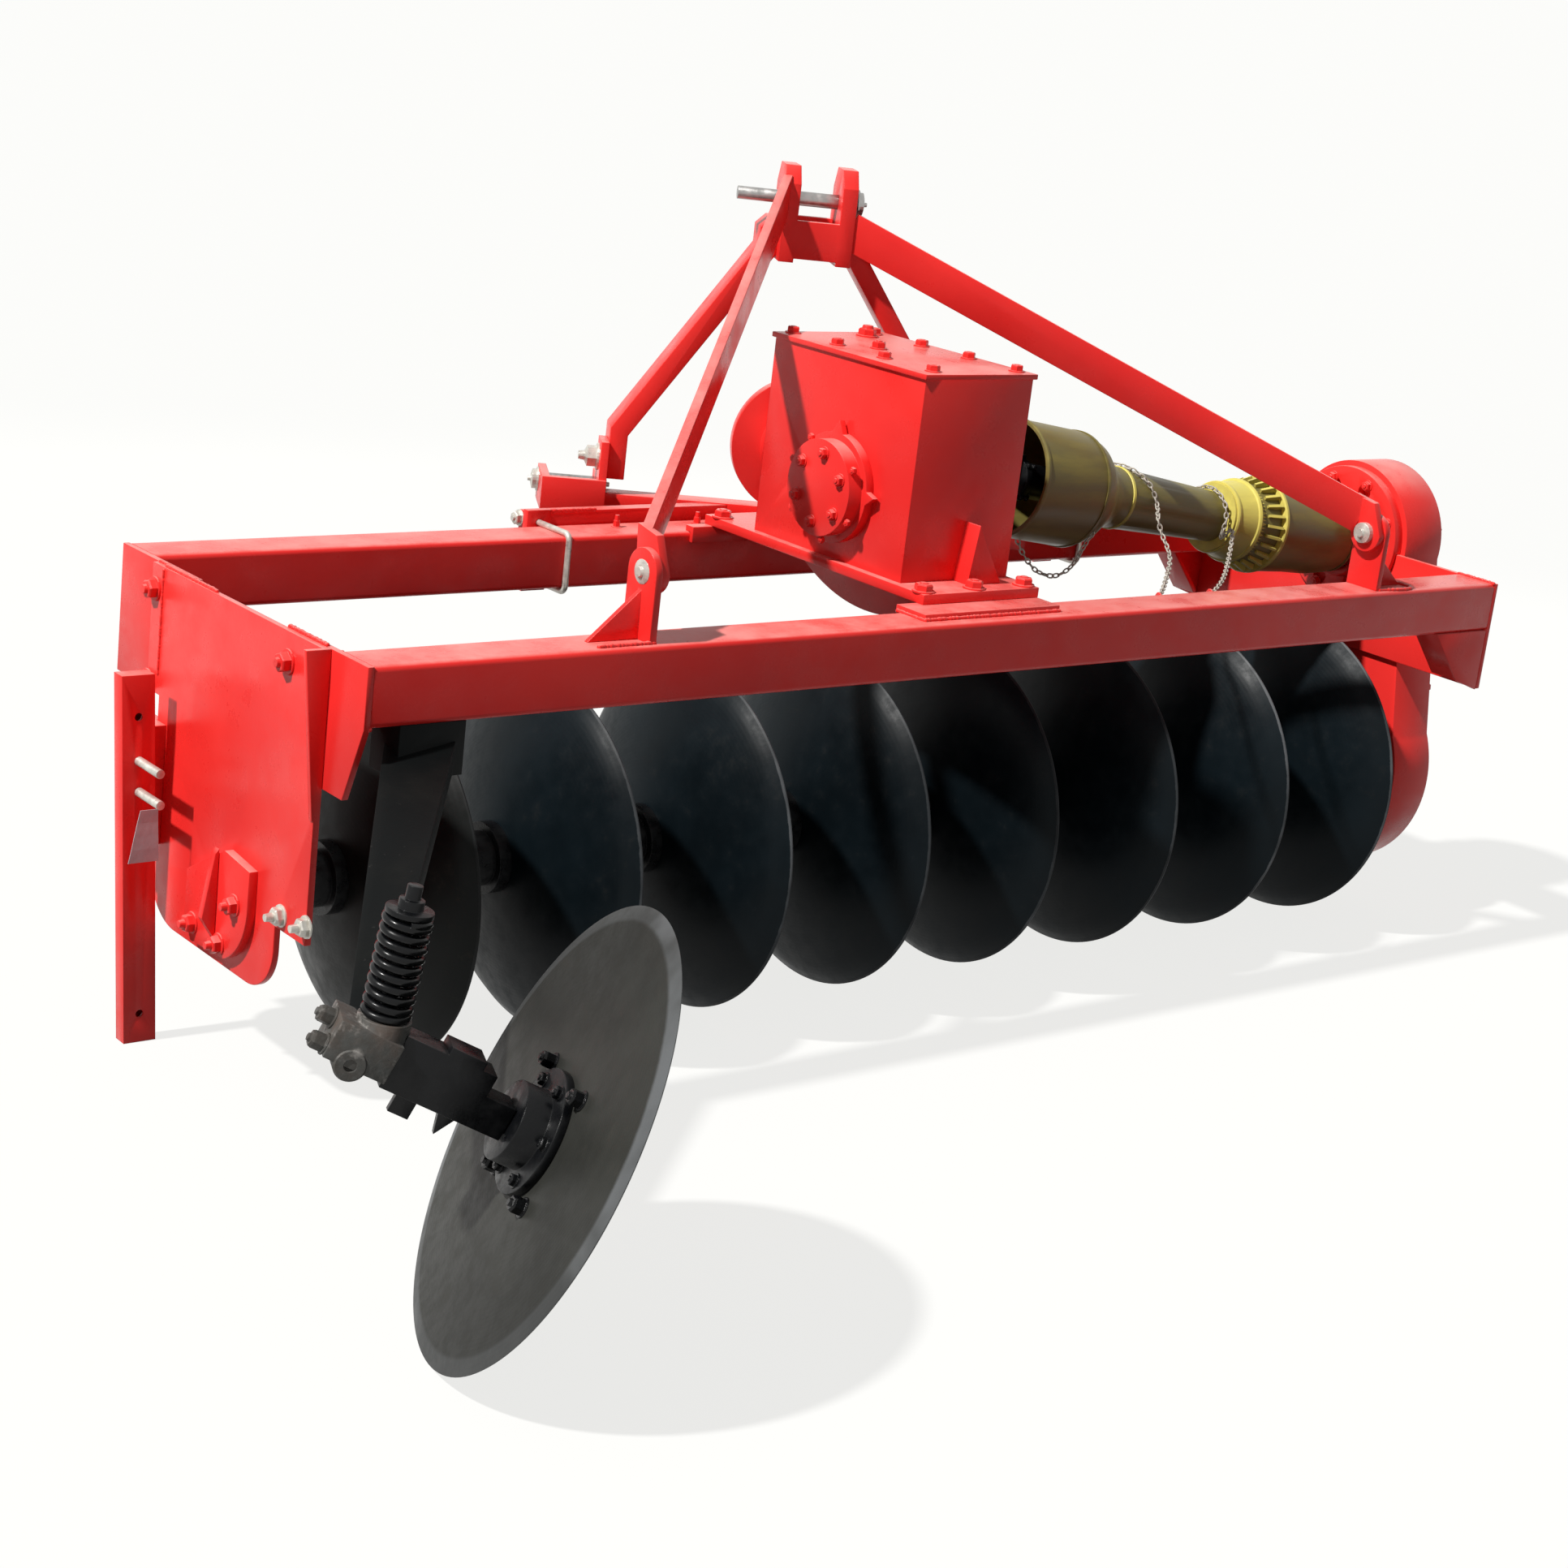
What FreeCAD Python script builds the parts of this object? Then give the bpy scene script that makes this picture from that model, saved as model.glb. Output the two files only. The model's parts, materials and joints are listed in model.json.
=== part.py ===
"""A powered disc plough: a two-beam frame on a gang of eight driven discs, with a three-point hitch,
a gearbox, a guarded drive shaft to a side case, a sprung rear furrow disc and a parking stand.

Lengths are millimetres. The pieces are placed from the left rear corner of the frame, at the top of
its beams: X runs right along the beams, Y forward, Z up. The last step moves them all so that the
part's own origin is the middle of the underside of its box.
"""

import FreeCAD, Part
import math
import os

import Sketcher

from FreeCAD import Placement, Rotation, Vector

doc = FreeCAD.newDocument("DiscPlough")
sheet = doc.addObject("Spreadsheet::Sheet", "Sizes")

X = Vector(1, 0, 0)
Y = Vector(0, 1, 0)
Z = Vector(0, 0, 1)


# ---------------------------------------------------------------- sizes and formulas

class Size:
    """A number that comes from the sheet: its formula there, and what it comes to."""

    def __init__(self, formula, value):
        self.formula = formula
        self.value = value

    def __add__(self, other):
        return Size(f"({self.formula} + {formula_of(other)})", self.value + value_of(other))

    def __radd__(self, other):
        return Size(f"({formula_of(other)} + {self.formula})", value_of(other) + self.value)

    def __sub__(self, other):
        return Size(f"({self.formula} - {formula_of(other)})", self.value - value_of(other))

    def __rsub__(self, other):
        return Size(f"({formula_of(other)} - {self.formula})", value_of(other) - self.value)

    def __mul__(self, other):
        return Size(f"({self.formula} * {formula_of(other)})", self.value * value_of(other))

    def __rmul__(self, other):
        return Size(f"({formula_of(other)} * {self.formula})", value_of(other) * self.value)

    def __truediv__(self, other):
        return Size(f"({self.formula} / {formula_of(other)})", self.value / value_of(other))

    def __rtruediv__(self, other):
        return Size(f"({formula_of(other)} / {self.formula})", value_of(other) / self.value)

    def __neg__(self):
        return Size(f"(0 - {self.formula})", -self.value)


def value_of(size):
    """The present value of a Size or of a plain number."""
    return size.value if isinstance(size, Size) else float(size)


def formula_of(size):
    """The formula of a Size or of a plain number."""
    return size.formula if isinstance(size, Size) else f"({float(size)})"


def root(size):
    """The square root of a size."""
    return Size(f"sqrt({formula_of(size)})", math.sqrt(value_of(size)))


def sine(angle):
    """The sine of an angle in degrees."""
    return Size(f"sin({formula_of(angle)})", math.sin(math.radians(value_of(angle))))


def cosine(angle):
    """The cosine of an angle in degrees."""
    return Size(f"cos({formula_of(angle)})", math.cos(math.radians(value_of(angle))))


def distance(start, end):
    """The distance between two places."""
    across = [b - a for a, b in zip(start, end)]
    return root(across[0] * across[0] + across[1] * across[1] + across[2] * across[2])


next_row = [1]


def size(name, value, meaning):
    """Adds a driving size to the sheet."""
    row = next_row[0]
    sheet.set(f"A{row}", name)
    sheet.set(f"B{row}", str(value))
    sheet.set(f"C{row}", meaning)
    sheet.setAlias(f"B{row}", name)
    next_row[0] = row + 1
    return Size(f"Sizes.{name}", float(value))


# the part's own origin, found at the end
home_x = size("home_x", 0, "shift of every piece along X")
home_y = size("home_y", 0, "shift of every piece along Y")
home_z = size("home_z", 0, "shift of every piece along Z")

# frame
frame_length = size("frame_length", 2730, "frame over its end plates, along X")
frame_depth = size("frame_depth", 835, "frame over its two beams, along Y")
beam_side = size("beam_side", 100, "square beam, outside")
beam_wall = size("beam_wall", 8, "wall of the beams")
beam_corner = size("beam_corner", 10, "round corners of the beams, outside")
plate = size("plate", 12, "thickness of the end and side plates")
end_drop = size("end_drop", 228, "end plates, from the beams' top down")
ground_drop = size("ground_drop", 828, "from the beams' top down to the floor")

# gang of discs
disc_count = 8
gang_y = size("gang_y", 418, "gang axis, forward of the frame's rear")
disc_radius = size("disc_radius", 330, "driven discs")
disc_pitch = size("disc_pitch", 330, "from disc to disc")
first_rim_x = size("first_rim_x", 296, "rim of the first disc")
disc_dish = size("disc_dish", 90, "depth of a disc's bowl")
disc_thickness = size("disc_thickness", 8, "disc plate")
disc_bevel = size("disc_bevel", 22, "ground edge of a disc, along its radius")
disc_edge = size("disc_edge", 2, "land left at a disc's edge")
disc_flat = size("disc_flat", 66, "radius of a disc's flat middle")
shaft_radius = size("shaft_radius", 30, "gang shaft")
running_gap = size("running_gap", 0.05, "radial clearance of a shaft in its bearing")
moving_gap = size("moving_gap", 6, "room beside a piece that turns")
spool_end = size("spool_end", 65, "radius of a spool's ends")
spool_waist = size("spool_waist", 50, "radius of a spool between its ends")
spool_collar = size("spool_collar", 24, "length of a spool's end")

# left end
side_rear = size("side_rear", 110, "rear edge of the left side plate")
side_front = size("side_front", 696, "front edge of the left side plate")
side_low_front = size("side_low_front", 650, "front edge of its lower half")
side_low_rear = size("side_low_rear", 208, "rear edge of its foot")
side_step = size("side_step", 489, "where its rear edge steps forward, below the beams' top")
side_drop = size("side_drop", 615, "its foot, below the beams' top")
side_front_round = size("side_front_round", 100, "its front lower corner")
side_rear_round = size("side_rear_round", 82, "its rear lower corner")
bearing_radius = size("bearing_radius", 80, "left bearing housing")
bearing_length = size("bearing_length", 70, "left bearing housing, along X")
cap_radius = size("cap_radius", 120, "left bearing's outer cap")
cap_thickness = size("cap_thickness", 16, "left bearing's outer cap")

# right end
case_width = size("case_width", 118, "side case, along X")
case_wall = size("case_wall", 16, "wall of the side case")
case_top_radius = size("case_top_radius", 162, "round top of the side case")
case_foot_radius = size("case_foot_radius", 240, "round foot of the side case")
output_height = size("output_height", 12, "side case's upper shaft, above the beams' top")
ring_radius = size("ring_radius", 150, "bearing ring on the side case")
ring_bore = size("ring_bore", 70, "hole of the bearing ring")
ring_thickness = size("ring_thickness", 24, "bearing ring")
gusset_drop = size("gusset_drop", 230, "right gussets, below the beams' top")
gusset_reach = size("gusset_reach", 161, "right gussets, along the beams")
gusset_plate = size("gusset_plate", 10, "right gussets' plate")
gusset_flange = size("gusset_flange", 67, "right gussets' flange, across")

# gearbox
box_left = size("box_left", 1211, "gearbox housing's left face")
box_width = size("box_width", 262, "gearbox housing, along X")
box_rear = size("box_rear", 175, "gearbox housing's rear face")
box_front = size("box_front", 612, "front of the housing's left face")
box_top = size("box_top", 404, "top of the housing, above the beams' top")
box_shoulder = size("box_shoulder", 340, "underside of the housing's square shoulder")
box_wall = size("box_wall", 20, "wall of the housing")
cover_thickness = size("cover_thickness", 10, "gearbox cover")
cover_lip = size("cover_lip", 6, "gearbox cover's overhang")
pad_thickness = size("pad_thickness", 12, "pads between gearbox and beams")
flange_thickness = size("flange_thickness", 19, "gearbox foot flange")
flange_left = size("flange_left", 1195, "foot flange's left edge")
flange_width = size("flange_width", 285, "foot flange, along X")
flange_rear = size("flange_rear", 90, "foot flange's rear edge")
flange_over = size("flange_over", 15, "foot flange, over the front beam")
flange_front = frame_depth - beam_side + flange_over
sump_radius = size("sump_radius", 390, "round sump below the gearbox")
sump_axis_height = size("sump_axis_height", 302, "line the sump is round about")
sump_left = size("sump_left", 1345, "sump's left face")
sump_width = size("sump_width", 110, "sump, along X")
drive_height = size("drive_height", 170, "gearbox output shaft, above the beams' top")
drive_radius = size("drive_radius", 25, "output and side input shafts")
input_height = size("input_height", 188, "gearbox input shaft, above the beams' top")
input_radius = size("input_radius", 17.45, "splined input shaft")
input_across = size("input_across", -22, "input shaft, to the side of the hitch's middle")
input_free = size("input_free", 80, "free length of the input shaft")
input_journal = size("input_journal", 21, "the shaft inside the gearbox, up to its shoulder")
input_shoulder = size("input_shoulder", 3, "the thick part's stand-out from the flange")
input_flange_radius = size("input_flange_radius", 133, "round flange about the input shaft")
input_flange_thickness = size("input_flange_thickness", 30, "round flange about the input shaft")
input_flange_back = size("input_flange_back", 220, "its middle, behind the hitch's middle")

# drive shaft between the gearbox and the side case
joint_left_x = size("joint_left_x", 1640, "left universal joint")
joint_right_x = size("joint_right_x", 2600, "right universal joint")
drive_tube_radius = size("drive_tube_radius", 35, "inner tube of the drive shaft")
yoke_radius = size("yoke_radius", 50, "outside of the yokes' ears")
hub_radius = size("hub_radius", 44, "hubs of the yokes")
yoke_ear = size("yoke_ear", 14, "thickness of the yokes' ears")
guard_wall = size("guard_wall", 4, "wall of the plastic guards")

# hitch
hitch_angle = size("hitch_angle", 30, "travel direction, turned from the frame's Y")
apex_x = size("apex_x", 1444, "middle of the hitch bar, along X")
apex_y = size("apex_y", 813, "middle of the hitch bar, along Y")
bar_half = size("bar_half", 482, "half of the hitch bar's length")
bar_width = size("bar_width", 54, "hitch bar, along the travel direction")
bar_thickness = size("bar_thickness", 25, "hitch bar, upright")
link_gap = size("link_gap", 96, "room between the lower link's cheeks")
cheek = size("cheek", 16, "lower link cheeks")
link_pin_radius = size("link_pin_radius", 14.35, "lower link pins")
link_pin_ahead = size("link_pin_ahead", 65, "lower link pins, ahead of the bar's middle")
link_pin_height = size("link_pin_height", 26, "lower link pins, above the beams' top")
mast_height = size("mast_height", 614, "top link pin above the lower link pins")
mast_across = size("mast_across", -6.5, "middle of the mast, to the side of the hitch bar's")
ear_gap = size("ear_gap", 84, "room between the mast's ears")
ear_thickness = size("ear_thickness", 30, "mast's ears")
top_pin_radius = size("top_pin_radius", 12.7, "top link pin's free end")
top_pin_shank = size("top_pin_shank", 14, "top link pin in the mast's ears")
top_pin_free = size("top_pin_free", 82, "free length of the top link pin")
strut_width = size("strut_width", 36, "mast struts, across")
strut_depth = size("strut_depth", 90, "mast struts, along the travel direction")
brace_deep = size("brace_deep", 72, "hitch braces, upright")
brace_thick = size("brace_thick", 18, "hitch braces, across")
rail_thick = size("rail_thick", 30, "hitch rail in front of the frame")
clamp_thick = size("clamp_thick", 15, "clamp plates of the U-bolts")
bolt_radius = size("bolt_radius", 6, "U-bolts")
stay_thick = size("stay_thick", 10, "stay from the hitch bar to the front beam")
stay_wide = size("stay_wide", 60, "stay, across")

# rear furrow disc
tail_x = size("tail_x", -45, "rear disc's middle, along X")
tail_y = size("tail_y", -625, "rear disc's middle, along Y")
tail_radius = size("tail_radius", 353, "rear disc")
tail_thickness = size("tail_thickness", 8, "rear disc")
tail_lean = size("tail_lean", 25, "rear axle, raised from level")
tail_set = size("tail_set", 157.1, "rear axle, turned from X")
axle_side = size("axle_side", 50, "square rear axle bar")
spring_length = size("spring_length", 150, "rear spring")
spring_radius = size("spring_radius", 36, "rear spring, outside")

# stand
stand_x = size("stand_x", -46, "middle of the stand leg at the floor, along X")
stand_lean = size("stand_lean", 0.0573, "how far the leg leans to the left as it rises")
stand_y = size("stand_y", 600, "middle of the stand leg, along Y")
stand_width = size("stand_width", 60, "stand leg, along X")
stand_deep = size("stand_deep", 30, "stand leg, along Y")
stand_wall = size("stand_wall", 5, "wall of the stand leg")
stand_top = size("stand_top", 165, "top of the stand leg, below the beams' top")
stand_gap = size("stand_gap", 0.8, "room between the leg and its guide")

doc.recompute()


# ---------------------------------------------------------------- ways of making a piece

places = {}
nodes = []

FACING = {
    "x": Rotation(Y, Z, X, "XYZ"),
    "y": Rotation(X, Z, -Y, "XYZ"),
    "z": Rotation(),
}


def bind(item, name, value):
    """Sets a property, and ties it to the sheet where its value comes from there."""
    setattr(item, name, value_of(value))
    if isinstance(value, Size):
        item.setExpression(name, value.formula)


def put(item, at, turn=None):
    """Puts a piece at a place, turned about its own origin."""
    item.Placement = Placement(Vector(*[value_of(v) for v in at]), turn or Rotation())
    for axis, value in zip("xyz", at):
        if isinstance(value, Size):
            item.setExpression("Placement.Base." + axis, value.formula)
    places[item.Name] = at
    return item


def box(name, low, high):
    """A block between its lowest and its highest corner."""
    item = doc.addObject("Part::Box", name)
    for side, start, end in zip(("Length", "Width", "Height"), low, high):
        bind(item, side, end - start)
    return put(item, low)


def rod(name, radius, length, at, along=X):
    """A round bar from a place, along a direction."""
    item = doc.addObject("Part::Cylinder", name)
    bind(item, "Radius", radius)
    bind(item, "Height", length)
    return put(item, at, Rotation(Z, along))


def corner_arc(start, end, radius):
    """The arc of a circle between two corners, and which of its ends is which."""
    chord = end - start
    middle = (start + end) * 0.5
    rise = math.sqrt(max(radius * radius - chord.Length ** 2 / 4, 0))
    left = Vector(-chord.y, chord.x, 0).normalize()
    centre = middle + left * (rise if radius > 0 else -rise)
    angles = [math.atan2(p.y - centre.y, p.x - centre.x) for p in (start, end)]
    circle = Part.Circle(centre, Z, abs(radius))
    if radius > 0:
        return Part.ArcOfCircle(circle, angles[0], angles[1]), (1, 2)
    return Part.ArcOfCircle(circle, angles[1], angles[0]), (2, 1)


def tie(sketch, kind, *what):
    """Adds a measure to a sketch, tied to the sheet where its value comes from there."""
    value = what[-1]
    index = sketch.addConstraint(Sketcher.Constraint(kind, *what[:-1], value_of(value)))
    if isinstance(value, Size):
        sketch.setExpression(f"Constraints[{index}]", value.formula)


def sketched(name, points, holes=()):
    """A body with a closed outline on its XY plane. A point (u, v) starts a straight edge; a point
    (u, v, r) starts an arc of radius r about a centre on the left, or on the right where r is
    negative. A hole is (u, v, radius)."""
    body = doc.addObject("PartDesign::Body", name)
    sketch = body.newObject("Sketcher::SketchObject", name + "_outline")
    plane = [f for f in body.Origin.OriginFeatures if f.Role == "XY_Plane"][0]
    sketch.AttachmentSupport = (plane, [""])
    sketch.MapMode = "FlatFace"
    corners = [Vector(value_of(p[0]), value_of(p[1]), 0) for p in points]
    ends = []
    for index, point in enumerate(points):
        start = corners[index]
        end = corners[(index + 1) % len(points)]
        if len(point) == 3:
            edge, order = corner_arc(start, end, value_of(point[2]))
        else:
            edge, order = Part.LineSegment(start, end), (1, 2)
        sketch.addGeometry(edge, False)
        ends.append(order)
    for index, point in enumerate(points):
        following = (index + 1) % len(points)
        sketch.addConstraint(
            Sketcher.Constraint("Coincident", index, ends[index][1], following, ends[following][0])
        )
        tie(sketch, "DistanceX", -1, 1, index, ends[index][0], point[0])
        tie(sketch, "DistanceY", -1, 1, index, ends[index][0], point[1])
        if len(point) == 3:
            radius = point[2] if value_of(point[2]) > 0 else -point[2]
            tie(sketch, "Radius", index, radius)
    for u, v, radius in holes:
        index = sketch.addGeometry(
            Part.Circle(Vector(value_of(u), value_of(v), 0), Z, value_of(radius)), False
        )
        tie(sketch, "DistanceX", -1, 1, index, 3, u)
        tie(sketch, "DistanceY", -1, 1, index, 3, v)
        tie(sketch, "Radius", index, radius)
    return body, sketch


def slab(name, points, thickness, at=(0, 0, 0), turn=None, facing="x", holes=()):
    """A plate of an outline. Facing x, its outline runs along Y and Z and it grows along +X;
    facing y, along X and Z and it grows along -Y; facing z, along X and Y and it grows along +Z."""
    body, sketch = sketched(name, points, holes)
    pad = body.newObject("PartDesign::Pad", name + "_pad")
    pad.Profile = sketch
    bind(pad, "Length", thickness)
    sketch.Visibility = False
    return put(body, at, turn or FACING[facing])


def turned(name, points, at=(0, 0, 0), turn=None):
    """A turned piece: its outline is (along, radius) and it turns about its own X axis."""
    body, sketch = sketched(name, points)
    spin = body.newObject("PartDesign::Revolution", name + "_turn")
    spin.Profile = sketch
    spin.ReferenceAxis = (sketch, ["H_Axis"])
    spin.Angle = 360
    return put(body, at, turn)


def rounds(steps, bore=0):
    """The outline of a stepped turned piece from (from, to, radius) steps in a row."""
    points = [(steps[0][0], bore)]
    for start, end, radius in steps:
        points += [(start, radius), (end, radius)]
    return points + [(steps[-1][1], bore)]


def flat_bar(name, start, end, thick, deep):
    """A straight flat bar between two places, its deep side upright."""
    along = Vector(*[value_of(b) - value_of(a) for a, b in zip(start, end)])
    across = Z.cross(along)
    turn = Rotation(across, along.cross(across), along, "ZXY")
    half, rise = thick / 2, deep / 2
    corners = [(-half, -rise), (half, -rise), (half, rise), (-half, rise)]
    return slab(name, corners, distance(start, end), start, turn)


def fuse(name, *pieces):
    """Pieces welded into one."""
    item = doc.addObject("Part::MultiFuse", name)
    item.Shapes = list(pieces)
    item.Refine = True
    return put(item, (0, 0, 0))


def cut(name, base, *tools):
    """A piece with others cut out of it."""
    item = doc.addObject("Part::Cut", name)
    item.Base = base
    item.Tool = tools[0] if len(tools) == 1 else fuse(name + "_tools", *tools)
    item.Refine = True
    return put(item, (0, 0, 0))


def both(name, first, second):
    """What two pieces share."""
    item = doc.addObject("Part::Common", name)
    item.Base = first
    item.Tool = second
    item.Refine = True
    return put(item, (0, 0, 0))


def node(label, item):
    """Registers a finished sub-part: its label names its file, and it shifts to the part's origin."""
    x, y, z = places[item.Name]
    put(item, (home_x + x, home_y + y, home_z + z), item.Placement.Rotation)
    item.Label = label
    nodes.append(item)
    return item


# ---------------------------------------------------------------- frame

floor = -ground_drop
gang_height = floor + disc_radius
right_inner = frame_length - plate
front_beam_rear = frame_depth - beam_side


def rounded(low, high, radius):
    """The outline of a rectangle with round corners."""
    (left, foot), (right, top) = low, high
    return [
        (left + radius, foot),
        (right - radius, foot, radius),
        (right, foot + radius),
        (right, top - radius, radius),
        (right - radius, top),
        (left + radius, top, radius),
        (left, top - radius),
        (left, foot + radius, radius),
    ]


def beam_solid(name, rear):
    """The outside of a beam between the end plates."""
    outline = rounded((rear, -beam_side), (rear + beam_side, 0), beam_corner)
    return slab(name, outline, right_inner - plate, (plate, 0, 0))


def beam(name, rear):
    """A square tube between the end plates."""
    hollow = box(
        name + "_hollow",
        (plate - 1, rear + beam_wall, beam_wall - beam_side),
        (right_inner + 1, rear + beam_side - beam_wall, -beam_wall),
    )
    node(name, cut(name, beam_solid(name + "_outside", rear), hollow))


def frame():
    """Both beams and the plates that close their ends."""
    beam("rear_beam", 0)
    beam("front_beam", front_beam_rear)
    rear_outline = [(0, 0), (0, -beam_side), (beam_side / 2, -end_drop), (250, -end_drop), (250, 0)]
    node("left_rear_plate", slab("left_rear_plate", rear_outline, plate))
    low_rear = frame_depth - 235
    front_outline = [
        (low_rear - 40, 0),
        (low_rear, -end_drop),
        (frame_depth, -end_drop),
        (frame_depth, 0),
    ]
    node("left_front_plate", slab("left_front_plate", front_outline, plate))
    right_outline = [(0, 0), (0, -end_drop), (frame_depth, -end_drop), (frame_depth, 0)]
    right_plate = slab("right_plate_blank", right_outline, plate, (right_inner, 0, 0))
    notch = rod("right_plate_notch", ring_bore, plate + 2, (right_inner - 1, gang_y, output_height))
    node("right_side_plate", cut("right_side_plate", right_plate, notch))


def gusset(name, beam_outer, inward):
    """A sloped plate with a flange under the right end of a beam. inward is 1 at the rear."""
    left = right_inner - gusset_reach
    slope_x = right_inner - 71
    slope_z = 25 - gusset_drop
    outline = [(left, -beam_side), (slope_x, slope_z), (right_inner, -gusset_drop), (right_inner, -beam_side)]
    flange = [
        (left, -beam_side),
        (slope_x, slope_z),
        (slope_x + 9, slope_z + 6),
        (left + gusset_plate, -beam_side),
    ]
    plate_front = beam_outer + gusset_plate if inward == 1 else beam_outer
    flange_front = beam_outer + gusset_flange if inward == 1 else beam_outer
    node(name, fuse(
        name,
        slab(name + "_plate", outline, gusset_plate, (0, plate_front, 0), facing="y"),
        slab(name + "_flange", flange, gusset_flange, (0, flange_front, 0), facing="y"),
    ))


def left_side_plate():
    """The deep left plate that carries the gang's left bearing, with its rear rib."""
    outline = [
        (side_rear, 0),
        (side_rear, -side_step),
        (side_low_rear, -side_step),
        (side_low_rear, side_rear_round - side_drop, side_rear_round),
        (side_low_rear + side_rear_round, -side_drop),
        (side_low_front - side_front_round, -side_drop, side_front_round),
        (side_low_front, side_front_round - side_drop),
        (side_low_front, -223),
        (side_front, -223),
        (side_front, 0),
    ]
    hole = (gang_y, gang_height, shaft_radius + 8)
    rib = [(-plate, 0), (-plate, -280), (-plate - 3, -280), (-plate - 33, 0)]
    node("left_side_plate", fuse(
        "left_side_plate",
        slab("side_blank", outline, plate, (-plate, 0, 0), holes=[hole]),
        slab("side_rib", rib, 10, (0, side_rear + 10, 0), facing="y"),
    ))


def left_bearing():
    """The left bearing housing inside the side plate, and its cap outside."""
    housing = turned("left_bearing", [
        (0, shaft_radius + running_gap),
        (0, bearing_radius),
        (bearing_length - 20, bearing_radius),
        (bearing_length, bearing_radius - 20),
        (bearing_length, shaft_radius + running_gap),
    ], (0, gang_y, gang_height))
    node("left_bearing", housing)
    outside = -plate - cap_thickness
    rear_edge = gang_y - 146
    low = gang_height - 92
    outline = [
        (rear_edge, gang_height + 15, cap_radius),
        (gang_y - 77, low),
        (gang_y + 40, low - 8),
        (gang_y + 66, gang_height - 62),
        (gang_y + 66, gang_height + 20),
        (gang_y - 60, gang_height + 92),
        (rear_edge, gang_height + 82),
    ]
    fin = [
        (1 - outside, gang_height + 90),
        (1 - outside, gang_height - 78),
        (-outside - 4, gang_height - 76),
        (26 - outside, gang_height - 30),
        (8 - outside, gang_height + 82),
    ]
    fin_turn = Rotation(-X, Z, Y, "XYZ")
    node("left_bearing_cap", fuse(
        "left_bearing_cap",
        slab("cap_plate", outline, cap_thickness, (outside, 0, 0)),
        slab("cap_fin", fin, 14, (0, gang_y - 44, 0), fin_turn),
    ))


# ---------------------------------------------------------------- gang

def gang():
    """The driven shaft with its discs and the spools between them."""
    curve = (disc_radius * disc_radius + disc_dish * disc_dish) / (2 * disc_dish)
    centre = curve - disc_dish

    def bowl(radius, shell):
        """How far along the axis a bowl of this curve has come at a radius."""
        return centre - root(shell * shell - radius * radius)

    flat = bowl(disc_flat, curve)
    inner = curve - disc_thickness
    edge = bowl(disc_radius, inner)
    bevel_start = disc_radius - disc_bevel
    profile = [
        (flat, shaft_radius),
        (flat, disc_flat, -curve),
        (bowl(bevel_start, curve), bevel_start),
        (edge - disc_edge, disc_radius),
        (edge, disc_radius, inner),
        (flat + disc_thickness, disc_flat),
        (flat + disc_thickness, shaft_radius),
    ]
    for index in range(disc_count):
        label = f"disc_{index + 1}"
        rim = first_rim_x + index * disc_pitch
        node(label, turned(label, profile, (rim, gang_y, gang_height)))

    right_end = frame_length + case_wall + 30
    node("gang_shaft", rod("gang_shaft", shaft_radius, right_end + 8, (-8, gang_y, gang_height)))

    starts = [bearing_length + moving_gap]
    ends = []
    for index in range(disc_count):
        rim = first_rim_x + index * disc_pitch
        ends.append(rim + flat)
        starts.append(rim + flat + disc_thickness)
    ends.append(frame_length - moving_gap)
    spools = []
    for index, (start, end) in enumerate(zip(starts, ends)):
        spools.append(turned(f"spool_{index + 1}", rounds([
            (start, start + spool_collar, spool_end),
            (start + spool_collar, end - spool_collar, spool_waist),
            (end - spool_collar, end, spool_end),
        ], shaft_radius), (0, gang_y, gang_height)))
    node("gang_spools", fuse("gang_spools", *spools))


# ---------------------------------------------------------------- side case and bearing ring

def side_case():
    """The closed case that takes the drive down to the gang, hollow, with two bearing bosses."""
    left = frame_length
    right = frame_length + case_width
    outside = case_body("case_outside", 0, left, right)
    inside = case_body("case_inside", case_wall, left + case_wall, right - case_wall)
    shaft_hole = rod("case_shaft_hole", shaft_radius + running_gap, 60, (left - 1, gang_y, gang_height))
    drive_hole = rod("case_drive_hole", drive_radius + running_gap, 60, (left - 1, gang_y, output_height))
    lower_boss = rod("case_lower_boss", shaft_radius + 25, 45, (left + 1, gang_y, gang_height))
    upper_boss = rod("case_upper_boss", drive_radius + 25, 45, (left + 1, gang_y, output_height))
    shell = cut("case_shell", outside, inside)
    node("side_case", cut(
        "side_case",
        fuse("case_with_bosses", shell, lower_boss, upper_boss),
        shaft_hole,
        drive_hole,
    ))


def case_body(name, inset, left, right):
    """The side case's outline drawn in by an inset, between two places along X."""
    rise = output_height - gang_height
    top = case_top_radius - inset
    foot = case_foot_radius - inset
    lean = (case_foot_radius - case_top_radius) / rise
    level = root(1 - lean * lean)
    return fuse(
        name,
        rod(name + "_top", top, right - left, (left, gang_y, output_height)),
        rod(name + "_foot", foot, right - left, (left, gang_y, gang_height)),
        slab(name + "_web", [
            (gang_y - top * level, output_height - top * lean),
            (gang_y - foot * level, gang_height - foot * lean),
            (gang_y + foot * level, gang_height - foot * lean),
            (gang_y + top * level, output_height - top * lean),
        ], right - left, (left, 0, 0)),
    )


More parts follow.
